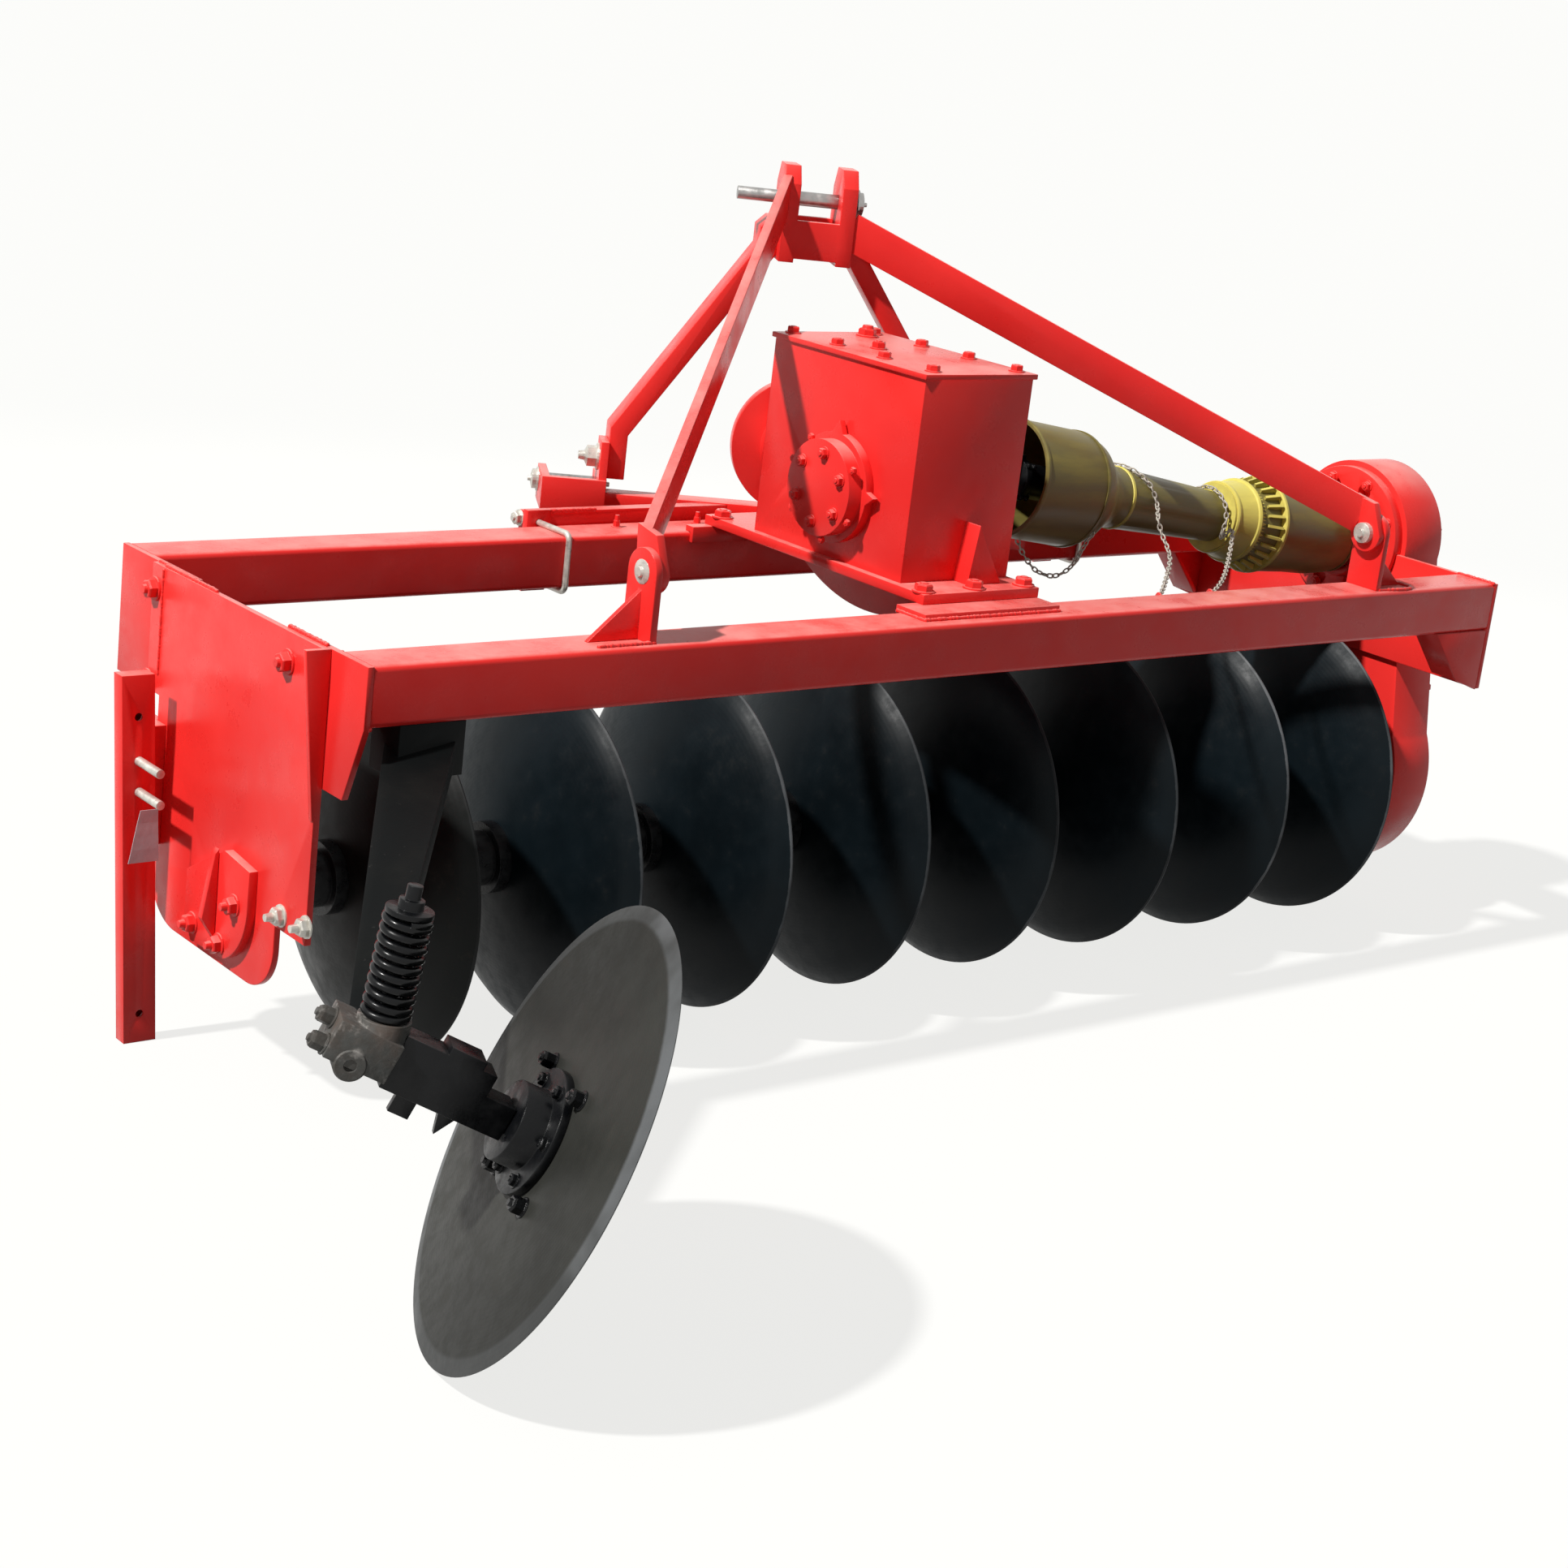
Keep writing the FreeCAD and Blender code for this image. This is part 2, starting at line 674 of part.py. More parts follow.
def bearing_ring():
    """The spoked ring round the upper shaft, notched over the right side plate."""
    left = frame_length - ring_thickness
    ring = rod("ring_disc", ring_radius, ring_thickness, (left, gang_y, output_height))
    tools = [
        rod("ring_hole", ring_bore, ring_thickness + 2, (left - 1, gang_y, output_height)),
        box("ring_notch", (right_inner, 0, -end_drop), (frame_length + 1, frame_depth, 0)),
    ]
    for index in range(8):
        angle = math.radians(22.5 + 45 * index)
        reach = (ring_radius + ring_bore) / 2
        tools.append(rod(f"ring_light_{index + 1}", 17, ring_thickness + 2, (
            left - 1,
            gang_y + reach * math.cos(angle),
            output_height + reach * math.sin(angle),
        )))
    node("side_bearing_ring", cut("side_bearing_ring", ring, *tools))


# ---------------------------------------------------------------- gearbox

box_right = box_left + box_width
travel_sine = sine(hitch_angle)
travel_cosine = cosine(hitch_angle)
HITCH_TURN = Rotation(Z, -hitch_angle.value)
TRAVEL = HITCH_TURN.multVec(Y)
foot_top = pad_thickness + flange_thickness


def hitch_place(across, ahead, height):
    """A place given across the hitch, ahead of its bar's middle, and above the beams' top."""
    return (
        apex_x + across * travel_cosine + ahead * travel_sine,
        apex_y - across * travel_sine + ahead * travel_cosine,
        height,
    )


def box_outline(inset):
    """The housing seen from above: its front face is square to the travel direction."""
    slope = travel_sine / travel_cosine
    front_left = box_front - inset / travel_cosine - inset * slope
    return [
        (box_left + inset, box_rear + inset),
        (box_right - inset, box_rear + inset),
        (box_right - inset, front_left - (box_width - 2 * inset) * slope),
        (box_left + inset, front_left),
    ]


def box_shoulder_outline():
    """The square shoulder above the housing's turned front face, seen from above."""
    overlap = 30
    front_right = box_front - box_width * travel_sine / travel_cosine
    return [
        (box_left, box_front - overlap),
        (box_right, front_right - overlap),
        (box_right, box_front),
        (box_left, box_front),
    ]


def gearbox_housing():
    """The gearbox housing with its output boss and rear rib, hollow under the cover."""
    shoulder = slab(
        "box_shoulder", box_shoulder_outline(), box_top - box_shoulder, (0, 0, box_shoulder), facing="z"
    )
    outside = slab("box_outside", box_outline(0), box_top - foot_top, (0, 0, foot_top), facing="z")
    inside = slab(
        "box_inside", box_outline(box_wall), box_top - foot_top, (0, 0, foot_top + box_wall), facing="z"
    )
    boss = rod("box_boss", 80, 15, (box_right, gang_y, drive_height))
    rib = [(box_left + 128, foot_top), (box_left + 211, foot_top), (box_left + 143, 142)]
    rib_piece = slab("box_rib", rib, 40, (0, box_rear, 0), facing="y")
    output_hole = rod("box_output_hole", drive_radius + running_gap, box_wall + 20, (
        box_right - box_wall - 1, gang_y, drive_height
    ))
    input_hole = rod(
        "box_input_hole", input_journal + running_gap, 220,
        hitch_place(input_across, -400, input_height), TRAVEL,
    )
    behind = -input_flange_back
    disc = rod(
        "input_disc", input_flange_radius, input_flange_thickness,
        hitch_place(input_across, behind - input_flange_thickness / 2, input_height), TRAVEL,
    )
    face = (box_left - apex_x) * travel_sine + (box_front - apex_y) * travel_cosine
    neck = rod(
        "input_neck", 78, behind - face + 1, hitch_place(input_across, face - 1, input_height), TRAVEL
    )
    body = cut("box_hollow", fuse("box_body", outside, shoulder, boss, rib_piece, disc, neck), inside)
    node("gearbox_housing", cut("gearbox_housing", body, output_hole, input_hole))


def gearbox_covers():
    """The cover plate, the foot flange with the round sump, the pads and the left cap."""
    node("gearbox_cover", box(
        "gearbox_cover",
        (box_left - cover_lip, box_rear - cover_lip, box_top),
        (box_right + cover_lip, box_front + cover_lip, box_top + cover_thickness),
    ))
    foot = box(
        "foot_flange",
        (flange_left, flange_rear, pad_thickness),
        (flange_left + flange_width, flange_front, foot_top),
    )
    sump_outside = rod("sump_outside", sump_radius, sump_width, (sump_left, gang_y, sump_axis_height))
    sump_inside = rod(
        "sump_inside", sump_radius - 14, sump_width - 28, (sump_left + 14, gang_y, sump_axis_height)
    )
    below = box(
        "sump_below",
        (sump_left - 1, gang_y - sump_radius, -200),
        (sump_left + sump_width + 1, gang_y + sump_radius, pad_thickness),
    )
    sump = both("sump", cut("sump_shell", sump_outside, sump_inside), below)
    node("gearbox_foot", fuse("gearbox_foot", foot, sump))
    pad_left = flange_left - 45
    pad_right = flange_left + flange_width
    node("gearbox_pads", fuse(
        "gearbox_pads",
        box("pad_rear", (pad_left, 30, 0), (pad_right, beam_side + 10, pad_thickness)),
        box("pad_front_top", (pad_left, front_beam_rear - 10, 0), (pad_right, flange_front, pad_thickness)),
        box("pad_front_lip", (pad_left, front_beam_rear - 10, -20), (pad_right, front_beam_rear, 0)),
    ))
    cap_y, cap_z = gang_y - 37, drive_height - 5
    outer = rod("cap_outer", 103, 18, (box_left - 18, cap_y, cap_z))
    inner = rod("cap_inner", 90, 48, (box_left - 48, cap_y, cap_z))
    upper_lug = [(cap_y - 22, cap_z + 92), (cap_y + 20, cap_z + 92), (cap_y - 4, cap_z + 126)]
    rear_lug = [(cap_y - 92, cap_z - 20), (cap_y - 92, cap_z + 16), (cap_y - 124, cap_z + 4)]
    node("gearbox_side_cap", fuse(
        "gearbox_side_cap",
        outer,
        inner,
        slab("cap_upper_lug", upper_lug, 12, (box_left - 18, 0, 0)),
        slab("cap_rear_lug", rear_lug, 12, (box_left - 18, 0, 0)),
    ))


def input_shaft():
    """The splined input shaft, along the travel direction, with the shoulder behind its free end."""
    inside = 100
    thick = inside + input_flange_thickness + input_shoulder
    start = -input_flange_back - input_flange_thickness / 2 - inside
    shoulder = start + thick
    node("pto_input_shaft", fuse(
        "pto_input_shaft",
        rod("input_thick_part", input_journal, thick, hitch_place(input_across, start, input_height), TRAVEL),
        rod("input_free_end", input_radius, input_free - input_shoulder + 1,
            hitch_place(input_across, shoulder - 1, input_height), TRAVEL),
    ))


# ---------------------------------------------------------------- drive shaft and its guards

drive_drop = drive_height - output_height
drive_run = joint_right_x - joint_left_x
drive_length = root(drive_run * drive_run + drive_drop * drive_drop)
DRIVE_TURN = Rotation(X, Vector(drive_run.value, 0, -drive_drop.value))
left_joint = (joint_left_x, gang_y, drive_height)
right_joint = (joint_right_x, gang_y, output_height)
HALF_TURN = Rotation(Z, 180)


def fork(name, upright, shaft_end, shaft):
    """A yoke whose joint centre is the origin and whose shaft leaves along +X."""
    inside = yoke_radius - yoke_ear
    pieces = [turned(name + "_hub", rounds([(46, 62, hub_radius), (62, shaft_end, shaft)]))]
    for side in (-1, 1):
        near = inside if side == 1 else -yoke_radius
        far = yoke_radius if side == 1 else -inside
        low = (-22, -22, near) if upright else (-22, near, -22)
        high = (50, 22, far) if upright else (50, far, 22)
        pieces.append(box(f"{name}_ear_{'low' if side == -1 else 'high'}", low, high))
    return pieces


def ball(name, radius, along):
    """A ball at a place on the X axis."""
    item = doc.addObject("Part::Sphere", name)
    bind(item, "Radius", radius)
    return put(item, (along, 0, 0))


def drive_shafts():
    """The output stub, the drive shaft with both its yokes, and the side case's input stub."""
    output_end = joint_left_x - box_right + 16
    output = fuse("output_stub_shape", *fork("output_yoke", False, output_end, drive_radius))
    node("gearbox_output_stub", put(output, left_joint, HALF_TURN))

    inside = yoke_radius - yoke_ear
    pieces = fork("drive_left_yoke", True, drive_length / 2, drive_tube_radius)
    far = fuse("drive_right_half", *fork("drive_right_yoke", True, drive_length / 2, drive_tube_radius))
    pieces.append(put(far, (drive_length, 0, 0), HALF_TURN))
    for name, along in (("left", 0), ("right", drive_length)):
        pieces.append(rod(f"cross_{name}_upright", 11, inside * 2, (along, 0, -inside), Z))
        level = rod(f"cross_{name}_arm", 11, inside * 2, (along, -inside, 0), Y)
        pieces.append(both(f"cross_{name}_level", level, ball(f"cross_{name}_reach", inside - 0.3, along)))
    node("drive_shaft", put(fuse("drive_shaft_shape", *pieces), left_joint, DRIVE_TURN))

    side_end = frame_length - joint_right_x + 40
    side = fuse("side_stub_shape", *fork("side_yoke", False, side_end, drive_radius))
    node("side_input_stub", put(side, right_joint))


def shell(name, points, at, turn=None):
    """A thin turned guard: the outline of its outside, with an inside drawn in by the guard's wall."""
    inner = [(along, radius - guard_wall) for along, radius in reversed(points)]
    return turned(name, list(points) + inner, at, turn)


def guards():
    """The plastic guards over the drive shaft, each carried on the shaft by its inner ring."""
    ring_hole = drive_tube_radius + 0.35
    cup_end = 307
    tube_end = 640
    cup = shell("guard_cup", [
        (28, 117),
        (205, 117),
        (235, 107),
        (252, 95),
        (272, 80),
        (cup_end, 64),
    ], left_joint, DRIVE_TURN)
    cup_ring = turned(
        "guard_cup_ring", rounds([(cup_end - 10, cup_end, 64)], ring_hole), left_joint, DRIVE_TURN
    )
    sleeve = shell("guard_sleeve", [(cup_end, 64), (tube_end, 52.5)], left_joint, DRIVE_TURN)
    node("drive_guard_left", fuse("drive_guard_left", cup, cup_ring, sleeve))
    flare = shell("guard_flare", [
        (tube_end + 8, 72),
        (706, 86),
        (716, 79),
        (770, 90),
        (776, 100),
        (892, 88),
        (960, 84),
        (1020, 74),
        (1045, 66),
        (1069, 50),
    ], left_joint, DRIVE_TURN)
    flare_ring = turned(
        "guard_flare_ring", rounds([(tube_end, tube_end + 10, 72)], ring_hole), left_joint, DRIVE_TURN
    )
    node("drive_guard_right", fuse("drive_guard_right", flare, flare_ring))


# ---------------------------------------------------------------- hitch

ear_inner = ear_gap / 2
ear_outer = ear_inner + ear_thickness
top_pin_height = link_pin_height + mast_height
strut_top = 600
cheek_outer = bar_half + cheek
cheek_inner = bar_half - link_gap


def hitch_block(name, low, high):
    """A block in the hitch's own directions: across, ahead and up."""
    item = box(name, low, high)
    return put(item, hitch_place(low[0], low[1], low[2]), HITCH_TURN)


def hitch_slab(name, points, thickness, ahead, holes=()):
    """A plate of an outline given across the hitch and up, grown rearwards from a place ahead."""
    turn = HITCH_TURN.multiply(FACING["y"])
    return slab(name, points, thickness, hitch_place(0, ahead, 0), turn, holes=holes)


def mirrored(side, low, high):
    """The low and high of a stretch across the hitch, on the right for side 1 and left for -1."""
    return (low, high) if side == 1 else (-high, -low)


def hitch_bar_shape(name):
    """The hitch bar with the web under its left half."""
    half = bar_width / 2
    return fuse(
        name,
        hitch_block(name + "_flat", (-bar_half, -half, 0), (bar_half, half, bar_thickness)),
        hitch_block(name + "_web", (-350, -10, -27), (-20, 10, 0)),
    )


def hitch_bar():
    """The hitch bar, which lies across the front beam."""
    front = beam_solid("bar_beam_shape", front_beam_rear)
    node("hitch_bar", cut("hitch_bar", hitch_bar_shape("bar_blank"), front))


def hitch_end(name, side):
    """A lower link clevis on the end of the hitch bar, with the ear that takes the mast's strut."""
    half = bar_width / 2
    low, high = -16, 53
    outer = mirrored(side, bar_half, cheek_outer)
    inner = mirrored(side, cheek_inner - cheek, cheek_inner)
    across = mirrored(side, cheek_inner - cheek, cheek_outer)
    ahead = link_pin_ahead + 30
    shape = fuse(
        name + "_blank",
        hitch_block(name + "_back", (across[0], -half - 18, low), (across[1], -half, high)),
        hitch_block(name + "_outer", (outer[0], -half - 1, low), (outer[1], ahead, high)),
        hitch_block(name + "_inner", (inner[0], -half - 1, low), (inner[1], ahead, high)),
        hitch_block(name + "_ear", (inner[0], -40, high - 1), (inner[1], 40, 130)),
    )
    hole = rod(
        name + "_hole", link_pin_radius + 0.15, cheek_outer - cheek_inner + cheek + 2,
        hitch_place(across[0] - 1, link_pin_ahead, link_pin_height), HITCH_TURN.multVec(X),
    )
    node(name, cut(name, shape, hitch_bar_shape(name + "_bar_shape"), hole))
    pin = mirrored(side, cheek_inner - cheek - 10, cheek_outer + 14)
    node(name.replace("hitch_end", "lower_link_pin"), rod(
        name + "_pin", link_pin_radius, pin[1] - pin[0],
        hitch_place(pin[0], link_pin_ahead, link_pin_height), HITCH_TURN.multVec(X),
    ))


def mast_head_shape(name):
    """The two ears of the top link with the plate between them."""
    pieces = []
    for side in (-1, 1):
        low, _ = mirrored(side, ear_inner, ear_outer)
        profile = [
            (-60, 520), (65, 520), (65, 668), (35, 706), (-32, 706), (-60, 672),
        ]
        at = hitch_place(mast_across + low, 0, 0)
        pieces.append(slab(
            f"{name}_ear_{'left' if side == -1 else 'right'}", profile, ear_thickness, at,
            HITCH_TURN.multiply(FACING["x"]),
        ))
    pieces.append(hitch_block(
        name + "_plate",
        (mast_across - ear_inner - 1, -60, 528),
        (mast_across + ear_inner + 1, -44, 602),
    ))
    pieces.append(hitch_block(
        name + "_front",
        (mast_across - ear_inner - 1, 49, 528),
        (mast_across + ear_inner + 1, 65, 602),
    ))
    return fuse(name, *pieces)


def mast():
    """The mast's head, its two bent struts and the top link pin."""
    hole = rod(
        "top_pin_hole", top_pin_shank + 0.15, 2 * ear_outer + 4,
        hitch_place(mast_across - ear_outer - 2, 0, top_pin_height), HITCH_TURN.multVec(X),
    )
    node("mast_head", cut("mast_head", mast_head_shape("mast_head_blank"), hole))
    shoulder = mast_across - ear_outer - 4
    across = HITCH_TURN.multVec(X)
    node("top_link_pin", fuse(
        "top_link_pin",
        rod("pin_shank", top_pin_shank, 2 * ear_outer + 12, hitch_place(shoulder, 0, top_pin_height), across),
        rod("pin_free_end", top_pin_radius, top_pin_free + 1,
            hitch_place(shoulder - top_pin_free, 0, top_pin_height), across),
    ))
    foot_outer = cheek_inner - cheek
    foot_inner = foot_outer - strut_width
    for name, side in (("mast_strut_left", -1), ("mast_strut_right", 1)):
        head = mast_across + side * ear_outer
        outline = [
            (side * foot_outer, 55),
            (side * foot_outer, 158),
            (head + side * strut_width, 543),
            (head + side * strut_width, strut_top - 20),
            (head + side * (strut_width - 20), strut_top),
            (head, strut_top),
            (head, 528),
            (side * foot_inner, 144),
            (side * foot_inner, 55),
        ]
        node(name, hitch_slab(name, outline, strut_depth, 65))


def hitch_rail():
    """The rail clamped in front of the front beam, up to the hitch bar."""
    rear = frame_depth + clamp_thick
    rail = box("rail_blank", (846, rear, -27), (1345, rear + rail_thick, 23))
    leg = rod("rail_bolt_hole", bolt_radius + 0.5, rail_thick + 2, (862, rear - 1, bolt_radius), Y)
    node("hitch_rail", cut("hitch_rail", rail, hitch_bar_shape("rail_bar_shape"), leg))


def bent_bolt(name, across, top, bottom, rear, front):
    """A U-bolt round a beam: two level legs joined by an upright behind the beam."""
    bend = 14
    x, r = value_of(across), value_of(bolt_radius)
    y0, y1 = value_of(rear) - r, value_of(front)
    z1, z0 = value_of(top) + r, value_of(bottom) - r
    turn = bend * (1 - math.sqrt(0.5))
    points = [
        Vector(x, y1, z1), Vector(x, y0 + bend, z1), Vector(x, y0 + turn, z1 - turn),
        Vector(x, y0, z1 - bend), Vector(x, y0, z0 + bend), Vector(x, y0 + turn, z0 + turn),
        Vector(x, y0 + bend, z0), Vector(x, y1, z0),
    ]
    path = Part.Wire([
        Part.makeLine(points[0], points[1]),
        Part.Arc(points[1], points[2], points[3]).toShape(),
        Part.makeLine(points[3], points[4]),
        Part.Arc(points[4], points[5], points[6]).toShape(),
        Part.makeLine(points[6], points[7]),
    ])
    section = Part.Wire([Part.makeCircle(r, points[0], Y)])
    item = doc.addObject("Part::Feature", name)
    item.Shape = path.makePipeShell([section], True, False)
    return put(item, (0, 0, 0))


def clamps():
    """The U-bolts round the front beam with their plates, and the stay to the right one."""
    for name, across, top, high in (("left", 862, 0, 30), ("right", 2215, stay_thick, 40)):
        reach = frame_depth + clamp_thick + rail_thick + 18
        bolt = bent_bolt(f"u_bolt_{name}", across, top, -beam_side, front_beam_rear, reach)
        legs = [
            rod(f"clamp_{name}_upper", bolt_radius + 0.5, clamp_thick + 2,
                (across, frame_depth - 1, top + bolt_radius), Y),
            rod(f"clamp_{name}_lower", bolt_radius + 0.5, clamp_thick + 2,
                (across, frame_depth - 1, -beam_side - bolt_radius), Y),
        ]
        blank = box(
            f"clamp_{name}_blank",
            (across - 27, frame_depth, -beam_side - 28),
            (across + 27, frame_depth + clamp_thick, high),
        )
        plate_piece = cut(f"clamp_{name}_plate", blank, *legs)
        node(f"hitch_clamp_{name}", fuse(f"hitch_clamp_{name}", bolt, plate_piece))
    start = hitch_place(cheek_outer - 5, -15, stay_thick / 2)
    end = (2235, frame_depth - 42, stay_thick / 2)
    stay = flat_bar("stay_blank", start, end, stay_wide, stay_thick)
    node("hitch_stay_right", cut(
        "hitch_stay_right", stay, hitch_bar_shape("stay_bar_shape"), stay_cleared("stay_end_shape")
    ))


def stay_cleared(name):
    """The room taken by the right lower link clevis."""
    half = bar_width / 2
    return hitch_block(
        name, (cheek_inner - cheek, -half - 18, -16), (cheek_outer, link_pin_ahead + 30, 53)
    )


def braces():
    """The long flat braces from the mast to the rear beam, with the brackets they bolt to."""
    bolt_z = 113
    middle_y = 52
    ends = (
        ("left", -1, hitch_place(mast_across - ear_outer + 8, -34, 655), 535),
        ("right", 1, hitch_place(mast_across + ear_outer - 8, -46, 592), 2364),
    )
    for name, side, top, face in ends:
        plate_left = face if side == -1 else face - 14
        lug_left = face + 14 if side == -1 else face - 30
        foot = (lug_left + 8, middle_y + 26, bolt_z + 30)
        bar = flat_bar(f"brace_{name}_bar", top, foot, brace_thick, brace_deep)
        lug = slab(
            f"brace_{name}_lug",
            [
                (middle_y - 38, bolt_z, 38),
                (middle_y, bolt_z - 38, 38),
                (middle_y + 38, bolt_z),
                (middle_y + 44, bolt_z + 72),
                (middle_y - 10, bolt_z + 62),
            ],
            16,
            (lug_left, 0, 0),
        )
        keep_out = box(
            f"brace_{name}_keep_out",
            (plate_left, -20, 0),
            (plate_left + 14, 140, 220),
        )
        node(f"hitch_brace_{name}", cut(
            f"hitch_brace_{name}",
            fuse(f"brace_{name}_blank", bar, lug),
            mast_head_shape(f"brace_{name}_head_shape"),
            keep_out,
        ))
        bracket_side = face - 100 if side == -1 else face
        gusset_outline = [(bracket_side, 0), (bracket_side + 100, 0)]
        gusset_outline.append((bracket_side + 100, 84) if side == -1 else (bracket_side, 84))
        node(f"brace_bracket_{name}", fuse(
            f"brace_bracket_{name}",
            slab(f"bracket_{name}_plate", [
                (middle_y - 40, 0),
                (middle_y + 40, 0),
                (middle_y + 40, bolt_z, 40),
                (middle_y, bolt_z + 40, 40),
                (middle_y - 40, bolt_z),
            ], 14, (plate_left, 0, 0)),
            slab(f"bracket_{name}_gusset", gusset_outline, 10, (0, middle_y + 5, 0), facing="y"),
        ))


# ---------------------------------------------------------------- rear furrow disc

tail_height = floor + tail_radius * cosine(tail_lean) + tail_thickness / 2 * sine(tail_lean)
TAIL_TURN = Rotation(Z, tail_set.value).multiply(Rotation(Y, -tail_lean.value))


def tail_place(along, across=0, up=0):
    """A place along the rear axle from the disc, across it, and square to both."""
    level, rise = cosine(tail_lean), sine(tail_lean)
    reach = along * level - up * rise
    return (
        tail_x + reach * cosine(tail_set) - across * sine(tail_set),
        tail_y + reach * sine(tail_set) + across * cosine(tail_set),
        tail_height + along * rise + up * level,
    )


def tail_box(name, low, high):
    """A block in the rear axle's own directions."""
    item = box(name, low, high)
    return put(item, tail_place(*low), TAIL_TURN)


def tail_wheel():
    """The rear disc on its hub, and the fixed axle they turn on."""
    half = tail_thickness / 2
    spigot = 40
    stub = 20
    centre = tail_place(0)
    node("tail_disc", turned("tail_disc", [
        (-half, spigot),
        (-half, tail_radius - 2),
        (2 - half, tail_radius),
        (half - 28 * 0.2, tail_radius),
        (half, tail_radius - 28),
        (half, spigot),
    ], centre, TAIL_TURN))
    node("tail_hub", turned("tail_hub", [
        (-28, 0),
        (-28, 44),
        (-half - 6, 52),
        (-half, 52),
        (-half, spigot),
        (half, spigot),
        (half, 95),
        (half + 14, 95),
        (half + 14, 60),
        (58, 60),
        (58, stub + running_gap),
        (-14, stub + running_gap),
        (-14, 0),
    ], centre, TAIL_TURN))
    side = axle_side / 2
    horn = [(121, -side), (141, -side - 36), (152, -side)]
    stub_rod = rod("axle_stub", stub, 74, tail_place(-12), TAIL_TURN.multVec(X))
    axle = fuse(
        "axle_blank",
        stub_rod,
        tail_box("axle_bar", (60, -side, -side), (250, side, side)),
        tail_box("axle_saddle", (108, -side, side), (250, side, side + 32)),
        tail_box("axle_stop", (131, -side, side + 32), (186, side, side + 44)),
        tail_box("axle_tab", (184, -6, -side - 32), (216, 6, -side)),
        put(slab("axle_horn", horn, 12), tail_place(0, 6), TAIL_TURN.multiply(FACING["y"])),
    )
    node("tail_axle", cut("tail_axle", axle, yoke_shape("axle_yoke_shape")))


SPRING_LINE = Vector(0.13, -0.06, 0.99).normalize()


def spring_place(up):
    """A place on the spring's line, from its lower seat."""
    x, y, z = tail_place(285, 0, 62)
    return (x + up * SPRING_LINE.x, y + up * SPRING_LINE.y, z + up * SPRING_LINE.z)


def yoke_shape(name):
    """The block on the end of the rear axle with its spring seat and lower lug."""
    return fuse(
        name,
        tail_box(name + "_block", (250, -40, -14), (345, 40, 44)),
        rod(name + "_seat", 38, 40, spring_place(-40), SPRING_LINE),
        rod(name + "_lug", 24, 76, tail_place(305, -38, -9), TAIL_TURN.multVec(Y)),
    )


def tail_carrier():
    """The yoke, its spring and rod, and the arm back from the rear beam."""
    node("tail_yoke", fuse(
        "tail_yoke",
        yoke_shape("yoke_block_shape"),
        rod("spring_rod_stem", 11, spring_length + 44, spring_place(-2), SPRING_LINE),
        rod("spring_washer", 34, 8, spring_place(spring_length), SPRING_LINE),
        rod("spring_nut", 18, 14, spring_place(spring_length + 8), SPRING_LINE),
    ))
    node("tail_spring", cut(
        "tail_spring",
        rod("spring_outside", spring_radius, spring_length, spring_place(0), SPRING_LINE),
        rod("spring_inside", spring_radius - 12, spring_length + 2, spring_place(-1), SPRING_LINE),
    ))
    hanger_low = (plate + 58, 8, -beam_side - 90)
    hanger_high = (plate + 178, beam_side - 8, -beam_side)
    start = (plate + 120, 45, -beam_side - 58)
    end = tail_place(292, -16, 22)
    along = Vector(*[value_of(b) - value_of(a) for a, b in zip(start, end)])
    arm = doc.addObject("Part::Wedge", "arm_blank")
    for name, value in (
        ("Xmin", -55), ("Xmax", 55), ("Zmin", -26), ("Zmax", 26), ("Ymin", 0),
        ("Ymax", distance(start, end)), ("X2min", -24), ("X2max", 24), ("Z2min", -24), ("Z2max", 24),
    ):
        bind(arm, name, value)
    across = along.cross(Z)
    put(arm, start, Rotation(across, along, across.cross(along), "YXZ"))
    node("tail_arm", cut(
        "tail_arm",
        fuse("arm_with_hanger", arm, box("arm_hanger", hanger_low, hanger_high)),
        yoke_shape("arm_yoke_shape"),
        box("arm_plate_shape", (-plate, 0, -end_drop), (plate, 250, 0)),
    ))


# ---------------------------------------------------------------- parking stand

def stand_at(height):
    """The middle of the leg, along X, at a height."""
    return stand_x - (height - floor) * stand_lean


def leaning(low, high, half):
    """The outline along X and Z of a stretch of the leaning leg, half as wide as is given."""
    foot, head = stand_at(low), stand_at(high)
    return [(foot - half, low), (foot + half, low), (head + half, high), (head - half, high)]


